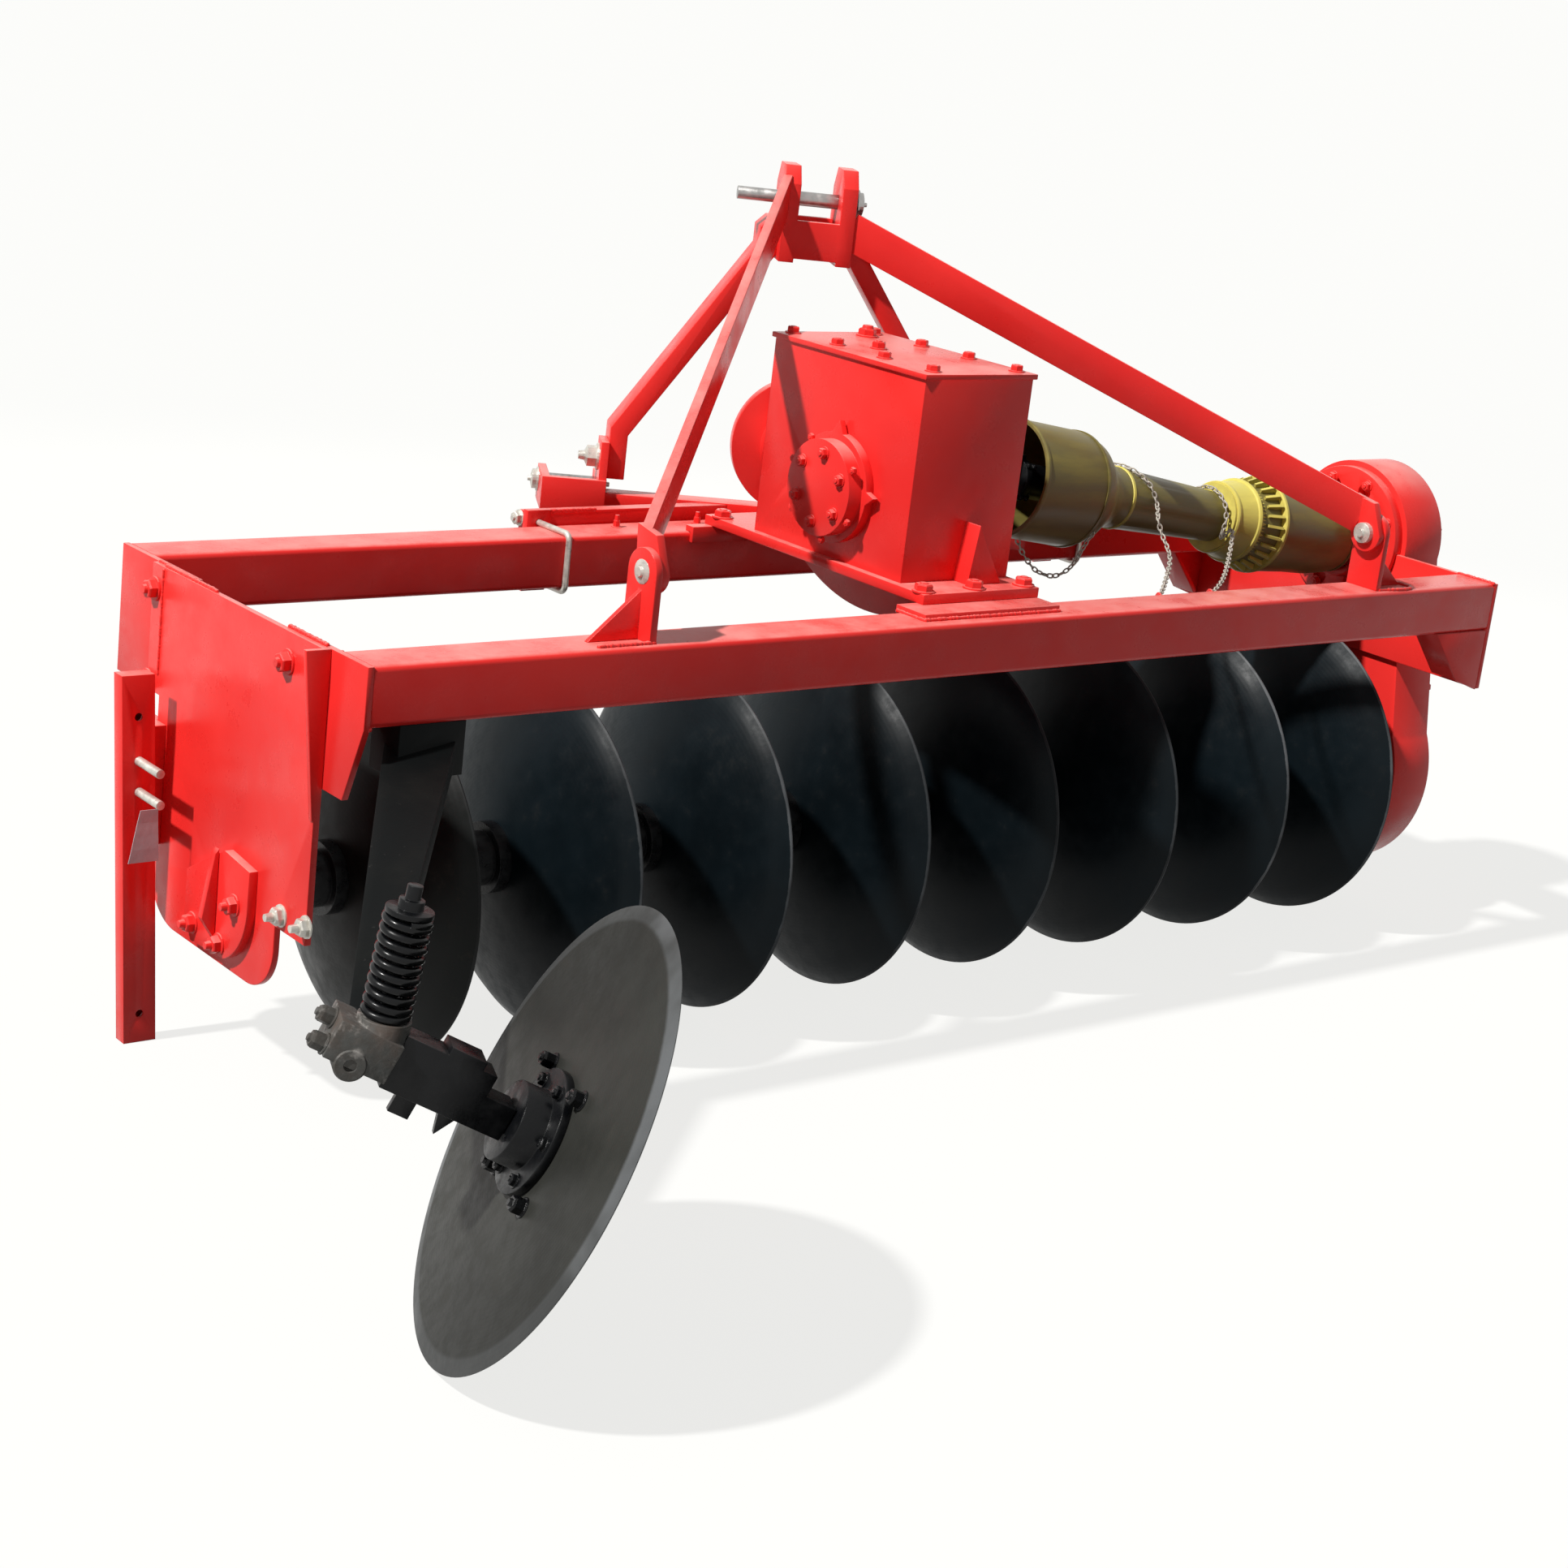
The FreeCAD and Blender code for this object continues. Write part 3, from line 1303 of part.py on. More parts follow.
def stand():
    """The sliding leg with its pins, and the guide it slides against."""
    half = stand_width / 2
    rear, front = stand_y - stand_deep / 2, stand_y + stand_deep / 2
    leg = slab("leg_outside", leaning(floor, -stand_top, half), stand_deep, (0, front, 0), facing="y")
    room = leaning(floor + stand_wall, -stand_top - stand_wall, half - stand_wall)
    hollow = slab(
        "leg_hollow", room, stand_deep - 2 * stand_wall, (0, front - stand_wall, 0), facing="y"
    )
    holes = []
    for name, height in (("upper", -238), ("lower", -775)):
        holes.append(rod(f"leg_hole_{name}", 7, stand_deep + 2, (stand_at(height), rear - 1, height), Y))
    pins = []
    for name, height in (("upper", -315), ("lower", -370)):
        pins.append(rod(f"leg_pin_{name}", 8, 130, (stand_at(height), front + 20 - 130, height), Y))
    node("stand_leg", fuse("stand_leg", cut("leg_tube", leg, hollow, *holes), *pins))

    low, high = -480, -266
    guide_rear = front + stand_gap
    guide_front = guide_rear + 12
    cheek_piece = box("stand_cheek", (-plate, side_low_front, low), (0, side_low_front + 40, high))
    stem = box("stand_stem", (-plate - 14, guide_rear, low), (-plate, side_low_front + 40, high))
    outline = [
        (stand_at(low) - half + 9, low),
        (-plate, low),
        (-plate, high),
        (stand_at(high) - half + 9, high),
    ]
    face = slab("stand_face", outline, 12, (0, guide_front, 0), facing="y")
    slot = slab("stand_slot", leaning(-386, high + 1, 10), 14, (0, guide_front + 1, 0), facing="y")
    node("stand_bracket", fuse(
        "stand_bracket", cheek_piece, stem, cut("stand_face_slotted", face, slot)
    ))


# ---------------------------------------------------------------- build

frame()
gusset("right_rear_gusset", 0, 1)
gusset("right_front_gusset", frame_depth, -1)
left_side_plate()
left_bearing()
gang()
side_case()
bearing_ring()
gearbox_housing()
gearbox_covers()
input_shaft()
drive_shafts()
guards()
hitch_bar()
hitch_end("hitch_end_left", -1)
hitch_end("hitch_end_right", 1)
mast()
hitch_rail()
clamps()
braces()
tail_wheel()
tail_carrier()
stand()


def check():
    """Stops at an object that failed, or at a sub-part without a sound shape."""
    for item in doc.Objects:
        if "Invalid" in item.State or "Error" in item.State:
            raise RuntimeError(f"{item.Label} failed: {item.State}")
    for item in nodes:
        if item.Shape.isNull() or not item.Shape.isValid():
            raise RuntimeError(f"{item.Label} has no sound shape")


doc.recompute()
check()
whole = FreeCAD.BoundBox()
for item in nodes:
    whole.add(item.Shape.BoundBox)
shift = (-(whole.XMin + whole.XMax) / 2, -(whole.YMin + whole.YMax) / 2, -whole.ZMin)
for name, value in zip(("home_x", "home_y", "home_z"), shift):
    sheet.set(sheet.getCellFromAlias(name), repr(round(value, 3)))
doc.recompute()
check()

os.makedirs("parts", exist_ok=True)
for item in nodes:
    item.Shape.exportStep(f"parts/{item.Label}.step")
print("sub-parts:", len(nodes))
print("origin shift:", [round(value, 3) for value in shift])
print("box:", [round(v, 1) for v in (whole.XLength, whole.YLength, whole.ZLength)])
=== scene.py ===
"""The looks of a powered disc plough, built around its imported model.

Each operator finishes one group of pieces: painted and bevelled copies of the model's nodes, and the
fasteners, welds, chains, coils and ribs that Geometry Nodes grow on them. Places are given in
millimetres from the frame's left rear corner, at the beams' top, and are turned into the model's own.
"""

import json
import math
import random

import bmesh
import bpy
from bpy.props import FloatProperty, FloatVectorProperty, IntProperty, PointerProperty
from mathutils import Euler, Matrix, Vector

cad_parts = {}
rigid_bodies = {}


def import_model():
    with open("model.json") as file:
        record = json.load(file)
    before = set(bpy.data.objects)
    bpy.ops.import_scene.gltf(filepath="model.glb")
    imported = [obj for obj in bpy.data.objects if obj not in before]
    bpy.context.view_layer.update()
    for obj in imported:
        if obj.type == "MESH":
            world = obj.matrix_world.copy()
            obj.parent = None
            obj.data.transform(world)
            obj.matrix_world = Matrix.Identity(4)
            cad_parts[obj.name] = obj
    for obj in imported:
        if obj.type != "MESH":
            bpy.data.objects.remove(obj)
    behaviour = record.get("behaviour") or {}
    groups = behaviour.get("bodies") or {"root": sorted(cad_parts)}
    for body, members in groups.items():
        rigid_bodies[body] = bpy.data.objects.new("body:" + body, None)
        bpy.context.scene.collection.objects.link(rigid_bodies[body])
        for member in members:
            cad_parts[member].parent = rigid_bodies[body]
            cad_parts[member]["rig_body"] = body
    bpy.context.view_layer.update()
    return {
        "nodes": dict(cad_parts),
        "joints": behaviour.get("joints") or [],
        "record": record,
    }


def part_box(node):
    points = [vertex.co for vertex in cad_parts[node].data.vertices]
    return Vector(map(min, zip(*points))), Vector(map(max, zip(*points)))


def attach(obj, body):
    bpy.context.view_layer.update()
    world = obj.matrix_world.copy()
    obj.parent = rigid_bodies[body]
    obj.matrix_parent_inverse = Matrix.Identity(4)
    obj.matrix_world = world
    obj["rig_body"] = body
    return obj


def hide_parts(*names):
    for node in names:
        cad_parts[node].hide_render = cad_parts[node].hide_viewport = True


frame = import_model()

bl_info = {
    "name": "Disc plough",
    "version": (1, 0, 0),
    "blender": (4, 5, 0),
    "location": "View3D > Sidebar > Disc plough",
    "description": "Paint, fasteners and small parts of a powered disc plough",
    "category": "Object",
}

MM = 0.001
LEFT, RIGHT = Vector((-1, 0, 0)), Vector((1, 0, 0))
UP = Vector((0, 0, 1))

# ---------------------------------------------------------------- places

BEAM_LOW, BEAM_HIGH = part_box("rear_beam")
BEAM_START = 12  # the beams begin so far in from the frame's left end
JOINTS = {joint["name"]: joint for joint in frame["joints"]}
SLOTS = {part["node"]: part["material_slot"] for part in frame["record"]["subparts"]}


def at(across, ahead, up):
    """A place in millimetres from the frame's left rear corner at the beams' top."""
    return Vector((
        BEAM_LOW.x + (across - BEAM_START) * MM,
        BEAM_LOW.y + ahead * MM,
        BEAM_HIGH.z + up * MM,
    ))


HITCH_TURN = math.radians(30)  # the hitch is turned to the frame, because the discs work at an angle
HITCH_ACROSS = Vector((math.cos(HITCH_TURN), -math.sin(HITCH_TURN), 0))
HITCH_AHEAD = Vector((math.sin(HITCH_TURN), math.cos(HITCH_TURN), 0))
HITCH_MIDDLE = (1444, 813)


def hitch_at(across, ahead, up):
    """A place across the turned hitch, ahead of its bar and above the beams' top."""
    return at(*HITCH_MIDDLE, up) + (HITCH_ACROSS * across + HITCH_AHEAD * ahead) * MM


def joint(name):
    """A joint's place and the line that it turns about."""
    found = JOINTS[name]
    return Vector(found["pos_m"]), Vector(found["axis"]).normalized()


GANG_MIDDLE, GANG_AXIS = joint("gang_spin")
INPUT_MIDDLE, INPUT_AXIS = joint("pto_input_spin")
DRIVE_START, DRIVE_AXIS = joint("drive_shaft_spin")
DRIVE_SIDE = DRIVE_AXIS.cross(UP).normalized()
DRIVE_TOP = DRIVE_SIDE.cross(DRIVE_AXIS)
TAIL_MIDDLE, TAIL_AXIS = joint("tail_disc_spin")
TAIL_ACROSS = Vector((-TAIL_AXIS.y, TAIL_AXIS.x, 0)).normalized()
TAIL_UP = TAIL_AXIS.cross(TAIL_ACROSS)
SPRING_SEAT = (285, 0, 62)  # along the axle, across it, and up
SPRING_AXIS = Vector((0.13, -0.06, 0.99)).normalized()
SIDE_SHAFT = (418, 12)  # the side drive's upper shaft: ahead, up
SIDE_GANG_UP = -498  # the gang's shaft below it
SIDE_RING_FACE = 2706
FRAME_END = 2718
BEAM, FRONT_BEAM = 100, 735  # the beams' side, and where the front one starts


def tail_at(along, across=0, up=0):
    """A place along the rear axle from its disc, across it, and square to both."""
    return TAIL_MIDDLE + (TAIL_AXIS * along + TAIL_ACROSS * across + TAIL_UP * up) * MM


def spring_at(up):
    """A place on the rear spring's middle line, above its lower seat."""
    return tail_at(*SPRING_SEAT) + SPRING_AXIS * up * MM


def polar(radius, angle):
    """The two sides of a radius that stands at an angle in degrees."""
    turn = math.radians(angle)
    return radius * math.cos(turn), radius * math.sin(turn)


def on_circle(count, radius, start=0):
    """So many pairs of sides, spaced evenly round a circle from a start angle in degrees."""
    return [polar(radius, 360 * index / count + start) for index in range(count)]


def drive_out(angle):
    """The way out from the drive shaft's line, round it from the top."""
    top, side = polar(1, angle)
    return DRIVE_TOP * top + DRIVE_SIDE * side


def drive_at(along, radius=0, angle=0):
    """A place about the drive shaft's line: along it, out from it, and round it from the top."""
    return DRIVE_START + (DRIVE_AXIS * along + drive_out(angle) * radius) * MM


def turned_to(axis, spin=0.0):
    """The Euler angles that bring Z to an axis, after a spin about it."""
    return (axis.to_track_quat("Z", "Y").to_matrix() @ Matrix.Rotation(spin, 3, "Z")).to_euler()


def turned_by(along, across):
    """The Euler angles that bring X and Y to two axes that are square to each other."""
    return Matrix((along, across, along.cross(across))).transposed().to_euler()


def facing(axis, *places):
    """Spots for fasteners that all look one way."""
    return [(place, axis) for place in places]


# ---------------------------------------------------------------- settings

def colour(label, meaning, default):
    """A colour that a user can change."""
    return FloatVectorProperty(
        name=label, description=meaning, subtype="COLOR", size=3, min=0, max=1, default=default
    )


def share(label, meaning, default):
    """A share from nought to one that a user can change."""
    return FloatProperty(name=label, description=meaning, subtype="FACTOR", min=0, max=1, default=default)


def length(label, meaning, default):
    """A length in metres that a user can change."""
    return FloatProperty(
        name=label, description=meaning, subtype="DISTANCE", unit="LENGTH", min=0, default=default
    )


def number(label, meaning, default):
    """A plain number that a user can change."""
    return FloatProperty(name=label, description=meaning, min=0, default=default)


class PaintSettings(bpy.types.PropertyGroup):
    """Colours and wear of the plough's finishes."""

    red: colour("Frame red", "Gloss paint of the frame, gearbox and hitch", (0.88, 0.034, 0.029))
    red_shade: colour("Deep red", "The same paint where it is thinner", (0.78, 0.024, 0.022))
    # The pale pink laid on top faces stands for soil and also paints the sheen of light on them.
    dust_and_sheen: colour("Dust", "Dry soil dust that has settled on level faces", (0.80, 0.42, 0.38))
    disc: colour("Disc", "Dark coating of the driven discs", (0.0024, 0.0044, 0.0058))
    first_disc: colour("First disc", "The outer disc, dulled by the weather", (0.0060, 0.0070, 0.0068))
    worn_edge: colour("Worn edge", "Bright steel of the ground edges", (0.17, 0.18, 0.19))
    tail_disc: colour("Rear disc", "Dark grey of the rear disc", (0.0165, 0.0168, 0.0150))
    black: colour("Black", "Black paint of the hub, spring and axle", (0.0028, 0.0031, 0.0038))
    weathered: colour("Weathered steel", "Bare castings left in the open", (0.075, 0.077, 0.073))
    rust: colour("Rust", "Rust on bare castings", (0.27, 0.105, 0.05))
    guard: colour("Guard", "Olive plastic of the shaft guards", (0.150, 0.125, 0.034))
    guard_bright: colour("Guard bearing", "Yellow plastic of the guard's bearing", (0.62, 0.54, 0.12))
    zinc: colour("Zinc", "Plated nuts, bolts and pins", (0.66, 0.64, 0.58))
    steel: colour("Steel", "Bare machined steel", (0.44, 0.43, 0.42))
    tag: colour("Tag", "The blank tag on the stand", (0.50, 0.50, 0.53))
    wear: share("Wear", "How much dust, stain and rust shows", 0.5)


class SmallPartSettings(bpy.types.PropertyGroup):
    """Sizes of the fasteners, welds and chains."""

    bolt: length("Bolt", "Frame bolts, across the corners of their heads", 0.030)
    small_bolt: length("Small bolt", "Cover bolts, across the corners of their heads", 0.021)
    weld: length("Weld", "Half the width of a weld bead", 0.0045)
    link: length("Chain link", "Wire of the guard chains", 0.0033)
    coil: length("Spring wire", "Wire of the rear spring", 0.0125)
    turns: number("Spring turns", "Turns of the rear spring", 10.5)
    ribs: IntProperty(name="Guard ribs", description="Ribs round the guard's bearing", min=4, default=26)
    edge: length("Edge", "Rounding of painted edges", 0.0016)


class StageSettings(bpy.types.PropertyGroup):
    """Lights, floor and camera."""

    sun: number("Sun", "Strength of the main light", 4.6)
    sky: number("Sky", "Strength of the light from all round", 0.17)
    background: colour("Background", "Warm white behind the plough", (0.975, 0.975, 0.955))
    floor: colour("Floor", "Pale floor", (0.90, 0.90, 0.88))
    lens: number("Lens", "Focal length in millimetres", 66.198)


def paint():
    """The colours and the wear, as the user has them."""
    return bpy.context.scene.plough_paint


def small_parts():
    """The sizes of the small parts, as the user has them."""
    return bpy.context.scene.plough_small_parts


# ---------------------------------------------------------------- node helpers

class Graph:
    """Puts nodes into a node tree and joins them."""

    def __init__(self, tree):
        self.nodes = tree.nodes
        self.links = tree.links

    def feed(self, socket, value):
        """Joins a socket to another one, or gives it a value."""
        if isinstance(value, bpy.types.NodeSocket):
            self.links.new(value, socket)
        else:
            socket.default_value = value

    def put(self, kind, inputs=None, **options):
        """A new node with its options and inputs."""
        node = self.nodes.new(kind)
        for name, value in options.items():
            setattr(node, name, value)
        for name, value in (inputs or {}).items():
            self.feed(node.inputs[name], value)
        return node

    def out(self, kind, inputs=None, **options):
        """The first output of a new node."""
        return self.put(kind, inputs, **options).outputs[0]

    def calc(self, operation, first, second=0.0):
        """One step of arithmetic."""
        return self.out("ShaderNodeMath", {0: first, 1: second}, operation=operation)

    def times(self, first, second):
        """The product of two values."""
        return self.calc("MULTIPLY", first, second)

    def combine(self, x=0.0, y=0.0, z=0.0):
        """A vector from its parts."""
        return self.out("ShaderNodeCombineXYZ", {"X": x, "Y": y, "Z": z})


class Finish(Graph):
    """A material patterned on the piece's own Object coordinates."""

    def __init__(self, name, base, roughness, metallic=0.0, specular=0.5):
        self.material = bpy.data.materials.new(name)
        self.material.use_nodes = True
        self.material.diffuse_color = (*base, 1)
        super().__init__(self.material.node_tree)
        self.shader = self.nodes["Principled BSDF"].inputs
        self.shader["Base Color"].default_value = (*base, 1)
        self.shader["Roughness"].default_value = roughness
        self.shader["Metallic"].default_value = metallic
        self.shader["Specular IOR Level"].default_value = specular
        self.place = self.put("ShaderNodeTexCoord").outputs["Object"]

    def noise(self, scale, detail=3.0, roughness=0.55, place=None):
        """Soft noise with so many features to the metre."""
        return self.out("ShaderNodeTexNoise", {
            "Vector": place or self.place, "Scale": scale, "Detail": detail, "Roughness": roughness,
        })

    def spread(self, value, low, high, start=0.0, end=1.0):
        """A value eased from one range to another."""
        return self.out("ShaderNodeMapRange", {
            "Value": value, "From Min": low, "From Max": high, "To Min": start, "To Max": end,
        }, interpolation_type="SMOOTHSTEP")

    def mix(self, amount, first, second):
        """Two colours mixed by an amount."""
        node = self.put("ShaderNodeMix", {0: amount}, data_type="RGBA")
        for index, value in ((6, first), (7, second)):
            plain = not isinstance(value, bpy.types.NodeSocket)
            self.feed(node.inputs[index], (*value, 1) if plain else value)
        return node.outputs[2]

    def facing_up(self):
        """How far a face looks up, from nought to one."""
        normal = self.put("ShaderNodeNewGeometry").outputs["Normal"]
        return self.put("ShaderNodeSeparateXYZ", {0: normal}).outputs["Z"]

    def from_line(self, middle, axis):
        """The distance of a place from a line, in metres."""
        turn = axis.to_track_quat("X", "Z").inverted().to_euler()
        moved = self.out(
            "ShaderNodeVectorMath", {0: self.place, 1: tuple(middle)}, operation="SUBTRACT"
        )
        laid = self.out("ShaderNodeMapping", {"Vector": moved, "Rotation": tuple(turn)})
        parts = self.put("ShaderNodeSeparateXYZ", {0: laid}).outputs
        flat = self.combine(0.0, parts["Y"], parts["Z"])
        return self.put("ShaderNodeVectorMath", {0: flat}, operation="LENGTH").outputs["Value"]

    def coat(self, tone, roughness=None):
        """Gives the shader its colour and its roughness."""
        self.feed(self.shader["Base Color"], tone)
        if roughness is not None:
            self.feed(self.shader["Roughness"], roughness)

    def relief(self, height, distance, strength=1.0, edge=0.0):
        """A bump, over rounded edges when an edge is given."""
        inputs = {"Height": height, "Strength": strength, "Distance": distance}
        if edge:
            inputs["Normal"] = self.out("ShaderNodeBevel", {"Radius": edge}, samples=4)
        self.feed(self.shader["Normal"], self.out("ShaderNodeBump", inputs))


def red_paint(name):
    """Gloss red paint with thin places, a pale pink mix on top faces that is part soil and part painted
    sheen, and slight orange peel.
    """
    red, wear = paint().red, paint().wear
    chips = (0.22, 0.012, 0.012)
    finish = Finish(name, red, 0.3, specular=0.22)
    cloud = finish.noise(2.4, 3)
    stain = finish.noise(11, 7, 0.68)
    specks = finish.noise(95, 4, 0.7)
    tone = finish.mix(finish.spread(cloud, 0.36, 0.66), paint().red_shade, red)
    # Top faces turn paler pink: part soil, part painted sheen of the light from above.
    level = finish.spread(finish.facing_up(), 0.6, 0.98)
    settled_and_sheened = finish.times(level, finish.spread(stain, 0.30, 0.72, 0.44 * wear, 1.15 * wear))
    tone = finish.mix(settled_and_sheened, tone, paint().dust_and_sheen)
    tone = finish.mix(finish.spread(specks, 0.70, 0.78, 0.0, 0.5 * wear), tone, chips)
    finish.coat(tone, finish.spread(stain, 0.3, 0.75, 0.24, 0.42))
    finish.relief(finish.noise(160, 2), 0.0004, 0.35, edge=0.0018)
    return finish.material


def disc_coating(name, base, middle, axis, radius, worn_width, streak, worn):
    """A dull dark coating with faint rings about the axle, and a rim worn paler."""
    soil = (0.060, 0.053, 0.043)
    finish = Finish(name, base, 0.42, specular=0.09)
    out = finish.from_line(middle, axis)
    cloud = finish.noise(3.2, 4, 0.6)
    stain = finish.noise(26, 6, 0.7)
    rings = finish.put("ShaderNodeTexWave", {
        "Vector": finish.combine(0.0, out, 0.0), "Scale": 42.0, "Distortion": 1.4, "Detail": 2.0,
    }, wave_type="BANDS", bands_direction="Y").outputs["Fac"]
    lighter = tuple(min(1, 1.9 * value) for value in base)
    tone = finish.mix(finish.spread(cloud, 0.34, 0.7), base, lighter)
    tone = finish.mix(finish.spread(stain, 0.55, 0.8, 0.0, streak), tone, soil)
    ragged = finish.calc("ADD", out, finish.spread(stain, 0.3, 0.7, -0.0006, 0.0006))
    patchy = finish.spread(cloud, 0.42, 0.66, 0.25 * worn, worn)
    edge = finish.spread(ragged, radius - worn_width, radius - worn_width * 0.7)
    tone = finish.mix(finish.times(edge, patchy), tone, paint().worn_edge)
    finish.coat(tone, finish.spread(stain, 0.3, 0.75, 0.34, 0.5))
    finish.relief(finish.calc("ADD", finish.times(rings, 0.35), finish.noise(120, 3)), 0.0003, 0.3)
    return finish.material


def driven_coating(name, base, worn_width, streak, worn):
    """The coating of a disc on the gang's shaft."""
    return disc_coating(name, base, GANG_MIDDLE, GANG_AXIS, 0.330, worn_width, streak, worn)


def black_paint(name, roughness=0.24, dirt=0.3):
    """Glossy black paint with a little dry dirt."""
    black = paint().black
    dry_dirt = (0.020, 0.018, 0.016)
    finish = Finish(name, black, roughness, specular=0.22)
    stain = finish.noise(34, 6, 0.7)
    dirty = finish.spread(stain, 0.52, 0.78, 0.0, dirt * paint().wear)
    tone = finish.mix(dirty, black, dry_dirt)
    finish.coat(tone, finish.spread(stain, 0.35, 0.75, roughness, roughness + 0.3))
    finish.relief(finish.noise(210, 3), 0.0004, 0.3, edge=0.0015)
    return finish.material


def weathered_steel(name):
    """A bare casting: grey-brown scale, pale patches that are partly worn bare steel and partly painted
    highlights, rusted in others.
    """
    weathered = paint().weathered
    brown_scale, bare_and_glint = (0.045, 0.040, 0.034), (0.33, 0.31, 0.29)
    finish = Finish(name, weathered, 0.5, 0.15)
    scale = finish.noise(16, 6, 0.72)
    rubbed_and_glint_spots = finish.noise(38, 5, 0.6)
    tone = finish.mix(finish.spread(scale, 0.35, 0.68), brown_scale, weathered)
    # Pale patches: partly worn steel, partly painted highlights that stand for glints.
    tone = finish.mix(finish.spread(rubbed_and_glint_spots, 0.55, 0.72, 0.0, 0.75), tone, bare_and_glint)
    rust = finish.noise(9, 5, 0.6)
    tone = finish.mix(finish.spread(rust, 0.50, 0.66, 0.0, 0.12), tone, paint().rust)
    finish.coat(tone, finish.spread(rubbed_and_glint_spots, 0.4, 0.75, 0.68, 0.38))
    finish.relief(finish.calc("ADD", scale, finish.noise(140, 4)), 0.0011, 0.55, edge=0.002)
    return finish.material


def dusty_black(name):
    """Flat black paint under a film of dry soil."""
    flat_black, soil, bare = (0.0026, 0.0034, 0.0036), (0.010, 0.010, 0.009), (0.05, 0.048, 0.044)
    finish = Finish(name, (0.004, 0.0046, 0.0046), 0.5, specular=0.08)
    film = finish.spread(finish.noise(7, 6, 0.66), 0.42, 0.72, 0.0, 0.45)
    scuffs = finish.spread(finish.noise(70, 3, 0.6), 0.68, 0.74, 0.0, 0.35)
    finish.coat(finish.mix(scuffs, finish.mix(film, flat_black, soil), bare))
    finish.relief(finish.noise(150, 3), 0.0005, 0.4, edge=0.002)
    return finish.material


def plain_metal(name, base, roughness, stain_tone, stained, metallic=1.0):
    """Plated or machined steel, clouded and stained a little."""
    finish = Finish(name, base, roughness, metallic)
    cloud = finish.noise(55, 5, 0.65)
    darker = tuple(0.72 * value for value in base)
    tone = finish.mix(finish.spread(cloud, 0.3, 0.7), darker, base)
    tone = finish.mix(finish.spread(finish.noise(23, 6, 0.7), 0.56, 0.74, 0.0, stained), tone, stain_tone)
    finish.coat(tone, finish.spread(cloud, 0.3, 0.7, roughness - 0.07, roughness + 0.14))
    finish.relief(finish.noise(260, 3), 0.0003, 0.3, edge=0.001)
    return finish.material


def guard_plastic(name, base, shine):
    """Moulded plastic with bleached streaks, a brown film on down-facing faces that is partly soil and
    partly painted shade, and a fine grain.
    """
    soil = (0.085, 0.045, 0.022)
    finish = Finish(name, base, 0.42, specular=0.25)
    stretched = finish.put("ShaderNodeMapping", {"Vector": finish.place, "Scale": (5.0, 26.0, 26.0)})
    streak = finish.noise(1.0, 5, 0.6, stretched.outputs[0])
    paler = tuple(min(1, shine * value) for value in base)
    tone = finish.mix(finish.spread(streak, 0.38, 0.72), base, paler)
    # Down-facing faces are darkened brown: part soil, part painted shade beneath the guard.
    film = finish.times(finish.spread(finish.facing_up(), 0.5, -0.7), 1.3 * paint().wear)
    finish.coat(finish.mix(film, tone, soil), finish.spread(streak, 0.3, 0.75, 0.34, 0.55))
    finish.relief(finish.noise(420, 2), 0.0003, 0.35, edge=0.001)
    return finish.material


def tag_card(name):
    """Grey card with a faint crumple."""
    grey = paint().tag
    finish = Finish(name, grey, 0.6)
    darker = tuple(0.8 * value for value in grey)
    finish.coat(finish.mix(finish.spread(finish.noise(18, 4), 0.3, 0.7), darker, grey))
    finish.relief(finish.noise(40, 3), 0.0015, 0.5)
    return finish.material


MAKERS = {
    "red_paint": red_paint,
    "disc_steel": lambda name: driven_coating(name, paint().disc, 0.0035, 0.10, 0.55),
    "first_disc": lambda name: driven_coating(name, paint().first_disc, 0.003, 0.30, 0.15),
    "grey_steel": lambda name: disc_coating(
        name, paint().tail_disc, TAIL_MIDDLE, TAIL_AXIS, 0.353, 0.029, 0.25, 0.6
    ),
    "black_paint": black_paint,
    "spring_paint": lambda name: black_paint(name, 0.16, 0.1),
    "dark_steel": lambda name: black_paint(name, 0.34, 0.6),
    "weathered_steel": weathered_steel,
    "arm_steel": dusty_black,
    "bare_steel": lambda name: plain_metal(name, paint().steel, 0.34, (0.20, 0.13, 0.09), 0.5),
    "zinc_steel": lambda name: plain_metal(name, paint().zinc, 0.33, (0.36, 0.30, 0.20), 0.4, 0.45),
    "chain_steel": lambda name: plain_metal(
        name, (0.50, 0.46, 0.40), 0.5, (0.20, 0.13, 0.08), 0.8, 0.2
    ),
    "guard_plastic": lambda name: guard_plastic(name, paint().guard, 1.5),
    "guard_yellow": lambda name: guard_plastic(name, paint().guard_bright, 1.25),
    "tag_card": tag_card,
}


def finish_named(name):
    """A finish by its name, made the first time it is wanted."""
    kept = "of_" + name
    return bpy.data.materials.get(kept) or MAKERS[name](kept)


# ---------------------------------------------------------------- pieces

def placed(name, mesh, body, slot, *nodes):
    """A finished mesh as a piece on a body, standing for any nodes that are named."""
    piece = bpy.data.objects.new(name, mesh)
    bpy.context.scene.collection.objects.link(piece)
    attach(piece, body)
    if nodes:
        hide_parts(*nodes)
    return piece


def evaluated(thing):
    """The plain mesh of an object with its modifiers, which is then removed."""
    graph = bpy.context.evaluated_depsgraph_get()
    mesh = bpy.data.meshes.new_from_object(thing.evaluated_get(graph), depsgraph=graph)
    bpy.data.objects.remove(thing)
    return mesh


def body_of(node):
    """The body that a node rides on."""
    return frame["nodes"][node]["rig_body"]


def smoothed(mesh, sharp):
    """Smooths a mesh's faces, but not over edges sharper than an angle in degrees."""
    mesh.polygons.foreach_set("use_smooth", [True] * len(mesh.polygons))
    mesh.set_sharp_from_angle(angle=math.radians(sharp))


